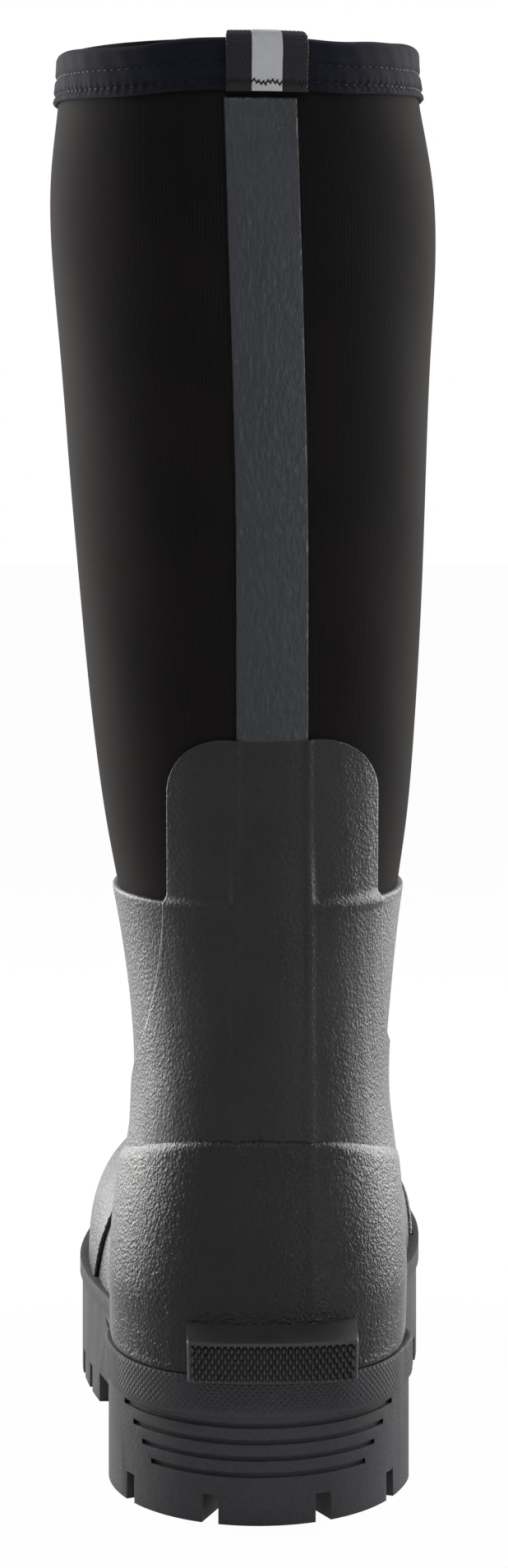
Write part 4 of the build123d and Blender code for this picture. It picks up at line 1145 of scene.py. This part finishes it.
def heel_band(piece, wrap_points):
    """The sole's upper band round the heel, which closes over the wrap's lower corners."""
    sole_points = vertex_places(piece.data) / MM
    turns = np.radians(np.linspace(-112.0, 112.0, 225))
    reach = np.zeros(len(turns))
    for points, low, high, extra in ((sole_points, 30.0, 41.3, 0.0), (wrap_points, 31.0, 43.0, 0.35)):
        near = points[(points[:, 2] > low) & (points[:, 2] < high) & (points[:, 1] < 20.0)]
        angle = np.arctan2(near[:, 0], -near[:, 1])
        radius = np.hypot(near[:, 0], near[:, 1]) + extra
        for k, turn in enumerate(turns):
            here = np.abs(angle - turn) < 0.03
            if here.any():
                reach[k] = max(reach[k], radius[here].max())
    reach = evened(reach, np.hanning(15)[1:-1]) + 0.1
    heights = np.array([30.2, 30.4, 30.8, 31.6, 33.5, 36.0, 38.5, 40.4, 41.0, 41.3, SOLE_EDGE])
    sink = np.array([0.9, 0.5, 0.2, 0.0, 0.0, 0.0, 0.0, 0.0, 0.12, 0.4, 0.8])
    radii = reach[None] - sink[:, None]
    outer = np.stack([radii * np.sin(turns), -radii * np.cos(turns),
                      np.broadcast_to(heights[:, None], radii.shape)], axis=-1)
    inner = outer.copy()
    band_wall = 3.2
    inner[..., :2] *= ((radii - band_wall) / radii)[..., None]
    band = shell("heel_band_moulded", outer, inner)
    mark_run(band)
    finish_piece(band, "sole", "rubber_sole", "outsole")


def mark_run(piece):
    """Stores how far round the sole each point is, for the knurl."""
    co = vertex_places(piece.data)
    heel_radius = 0.043
    around_heel = heel_radius * np.arctan2(co[:, 0], -co[:, 1])
    side = np.sign(co[:, 0]) * (heel_radius * math.pi / 2 + co[:, 1])
    run = np.where(co[:, 1] < 0.0, around_heel, side)
    mark = piece.data.attributes.new("run", "FLOAT", "POINT")
    mark.data.foreach_set("value", run.astype(np.float32))


def sole(wrap_points):
    """Lugged outsole, from the CAD's own mesh with softened corners."""
    piece = bevelled_copy("outsole", "outsole_moulded", 0.5)
    mark_run(piece)
    knurl_paint()
    finish_piece(piece, "sole", "rubber_sole", "outsole")
    heel_band(piece, wrap_points)


def inside():
    """What shows down the shaft, and the sealed pieces."""
    for node, name, paint, slot in (("footbed", "footbed_moulded", "foam", "footbed_foam"),
                                    ("footbed_cover", "footbed_cover_cloth", "footbed_knit",
                                     "footbed_knit")):
        piece = soft_copy(node, name, 0.45 if node == "footbed_cover" else 1.2, 1, 60000)
        finish_piece(piece, paint, slot, node)
    heights = np.linspace(72.0, 398.0, 120)
    across = graded(22.0, 1.2, (0.0, 0.2, 0.6))
    s = stay_s(heights)[:, None] * 0.9 + (across[None] - 0.5) * 20.0
    v, u = from_wrap(s, np.broadcast_to(heights[:, None], s.shape))
    edge = rounded(np.minimum(across, 1 - across) * 22.0, 0.6)[None]
    face = place(v, u, -6.1 - 0.4 * edge)
    tape = shell("inner_seam_tape_cloth", face, place(v, u, -5.95 + 0 * s))
    finish_piece(tape, "tape", "tape", "inner_seam_tape")
    for node, paint in (("heel_stiffener", "stiffener"), ("toe_puff", "stiffener"),
                        ("insole_board", "board"), ("midsole", "midsole"),
                        ("steel_shank", "steel"), ("shank_rivets", "steel")):
        mesh = NODES[node].data
        mesh.materials.clear()
        mesh.materials.append(PAINTS[paint].material)


# ---------------------------------------------------------------- camera, light and floor
def area_light(name, at, target, size, power, colour=(1, 1, 1)):
    """A rectangular soft box that faces a point."""
    lamp = bpy.data.lights.new(name, "AREA")
    lamp.shape = "RECTANGLE"
    lamp.size, lamp.size_y = size
    lamp.energy = power
    lamp.color = colour
    obj = linked(name, lamp)
    obj.location = at
    obj.rotation_euler = (Vector(target) - Vector(at)).to_track_quat("-Z", "Y").to_euler()


SENSOR, LENS, SHIFT = 24.0, 59.912, -0.25262
CAMERA_AT = (-0.0012, -1.145, 0.320)


def camera():
    """A level camera behind the boot; the frame is shifted down to hold the whole boot."""
    data = bpy.data.cameras.new("camera")
    data.sensor_fit = "VERTICAL"
    data.sensor_width = data.sensor_height = SENSOR
    data.lens = LENS
    data.shift_y = SHIFT
    obj = linked("camera", data)
    obj.location = CAMERA_AT
    obj.rotation_euler = (math.radians(90), 0, 0)
    bpy.context.scene.camera = obj


def white_for_camera(tree, shader_output, strength):
    """Adds plain white where the camera or a mirror looks straight at it."""
    path = tree.nodes.new("ShaderNodeLightPath")

    def combined(operation, first, second=None):
        node = tree.nodes.new("ShaderNodeMath")
        node.operation = operation
        tree.links.new(first, node.inputs[0])
        if second:
            tree.links.new(second, node.inputs[1])
        return node

    either = combined("MAXIMUM", path.outputs["Is Camera Ray"], path.outputs["Is Transmission Ray"])
    seen = combined("MAXIMUM", either.outputs[0], path.outputs["Is Glossy Ray"])
    amount = combined("MULTIPLY", seen.outputs[0])
    amount.inputs[1].default_value = strength
    white = tree.nodes.new("ShaderNodeEmission" if shader_output.node.type != "BACKGROUND"
                           else "ShaderNodeBackground")
    white.inputs[0].default_value = (1, 1, 1, 1)
    mix = tree.nodes.new("ShaderNodeMixShader")
    tree.links.new(amount.outputs[0], mix.inputs[0])
    tree.links.new(shader_output, mix.inputs[1])
    tree.links.new(white.outputs[0], mix.inputs[2])
    return mix.outputs[0]


def studio():
    """White floor and surround, two soft boxes beside the boot and one over the camera."""
    world = bpy.data.worlds.new("studio")
    bpy.context.scene.world = world
    world.use_nodes = True
    tree = world.node_tree
    back = tree.nodes["Background"]
    back.inputs[0].default_value = (1, 1, 1, 1)
    back.inputs[1].default_value = 0.1
    mixed = white_for_camera(tree, back.outputs[0], 1.0)
    tree.links.new(mixed, tree.nodes["World Output"].inputs[0])

    mesh = bpy.data.meshes.new("floor")
    half = 6.0
    corners = [(-half, -half, 0), (half, -half, 0), (half, half, 0), (-half, half, 0)]
    mesh.from_pydata(corners, [], [(0, 1, 2, 3)])
    floor = linked("floor", mesh)
    material = bpy.data.materials.new("floor_white")
    material.use_nodes = True
    tree = material.node_tree
    surface = tree.nodes["Principled BSDF"]
    surface.inputs["Base Color"].default_value = (0.8, 0.8, 0.8, 1)
    surface.inputs["Roughness"].default_value = 0.9
    mixed = white_for_camera(tree, surface.outputs[0], 0.975)
    tree.links.new(mixed, tree.nodes["Material Output"].inputs[0])
    mesh.materials.append(material)

    middle = (0.0, 0.04, 0.2)
    warm = (1.0, 0.985, 0.97)
    area_light("left_box", (-0.8, 0.72, 0.3), middle, (0.8, 1.3), 30.0, warm)
    area_light("right_box", (0.8, 0.72, 0.3), middle, (0.8, 1.3), 23.0, warm)
    area_light("front_box", (0.15, -1.3, 1.9), middle, (0.8, 0.4), 8.0)
    area_light("low_box", (0.8, -0.8, 0.1), (0.0, 0.0, 0.07), (0.16, 0.4), 1.6)


camera()
studio()
sock_and_lining()
foot_shell()
back_panel()
back_stay()
wrap_points = heel_wrap()
front_guard()
toe_cap()
kick_ledge()
binding, binding_cut = topline_binding()
stitching()
pull_loop()
sole(wrap_points)
inside()

bpy.context.scene.view_settings.view_transform = "Standard"
bpy.context.view_layer.update()
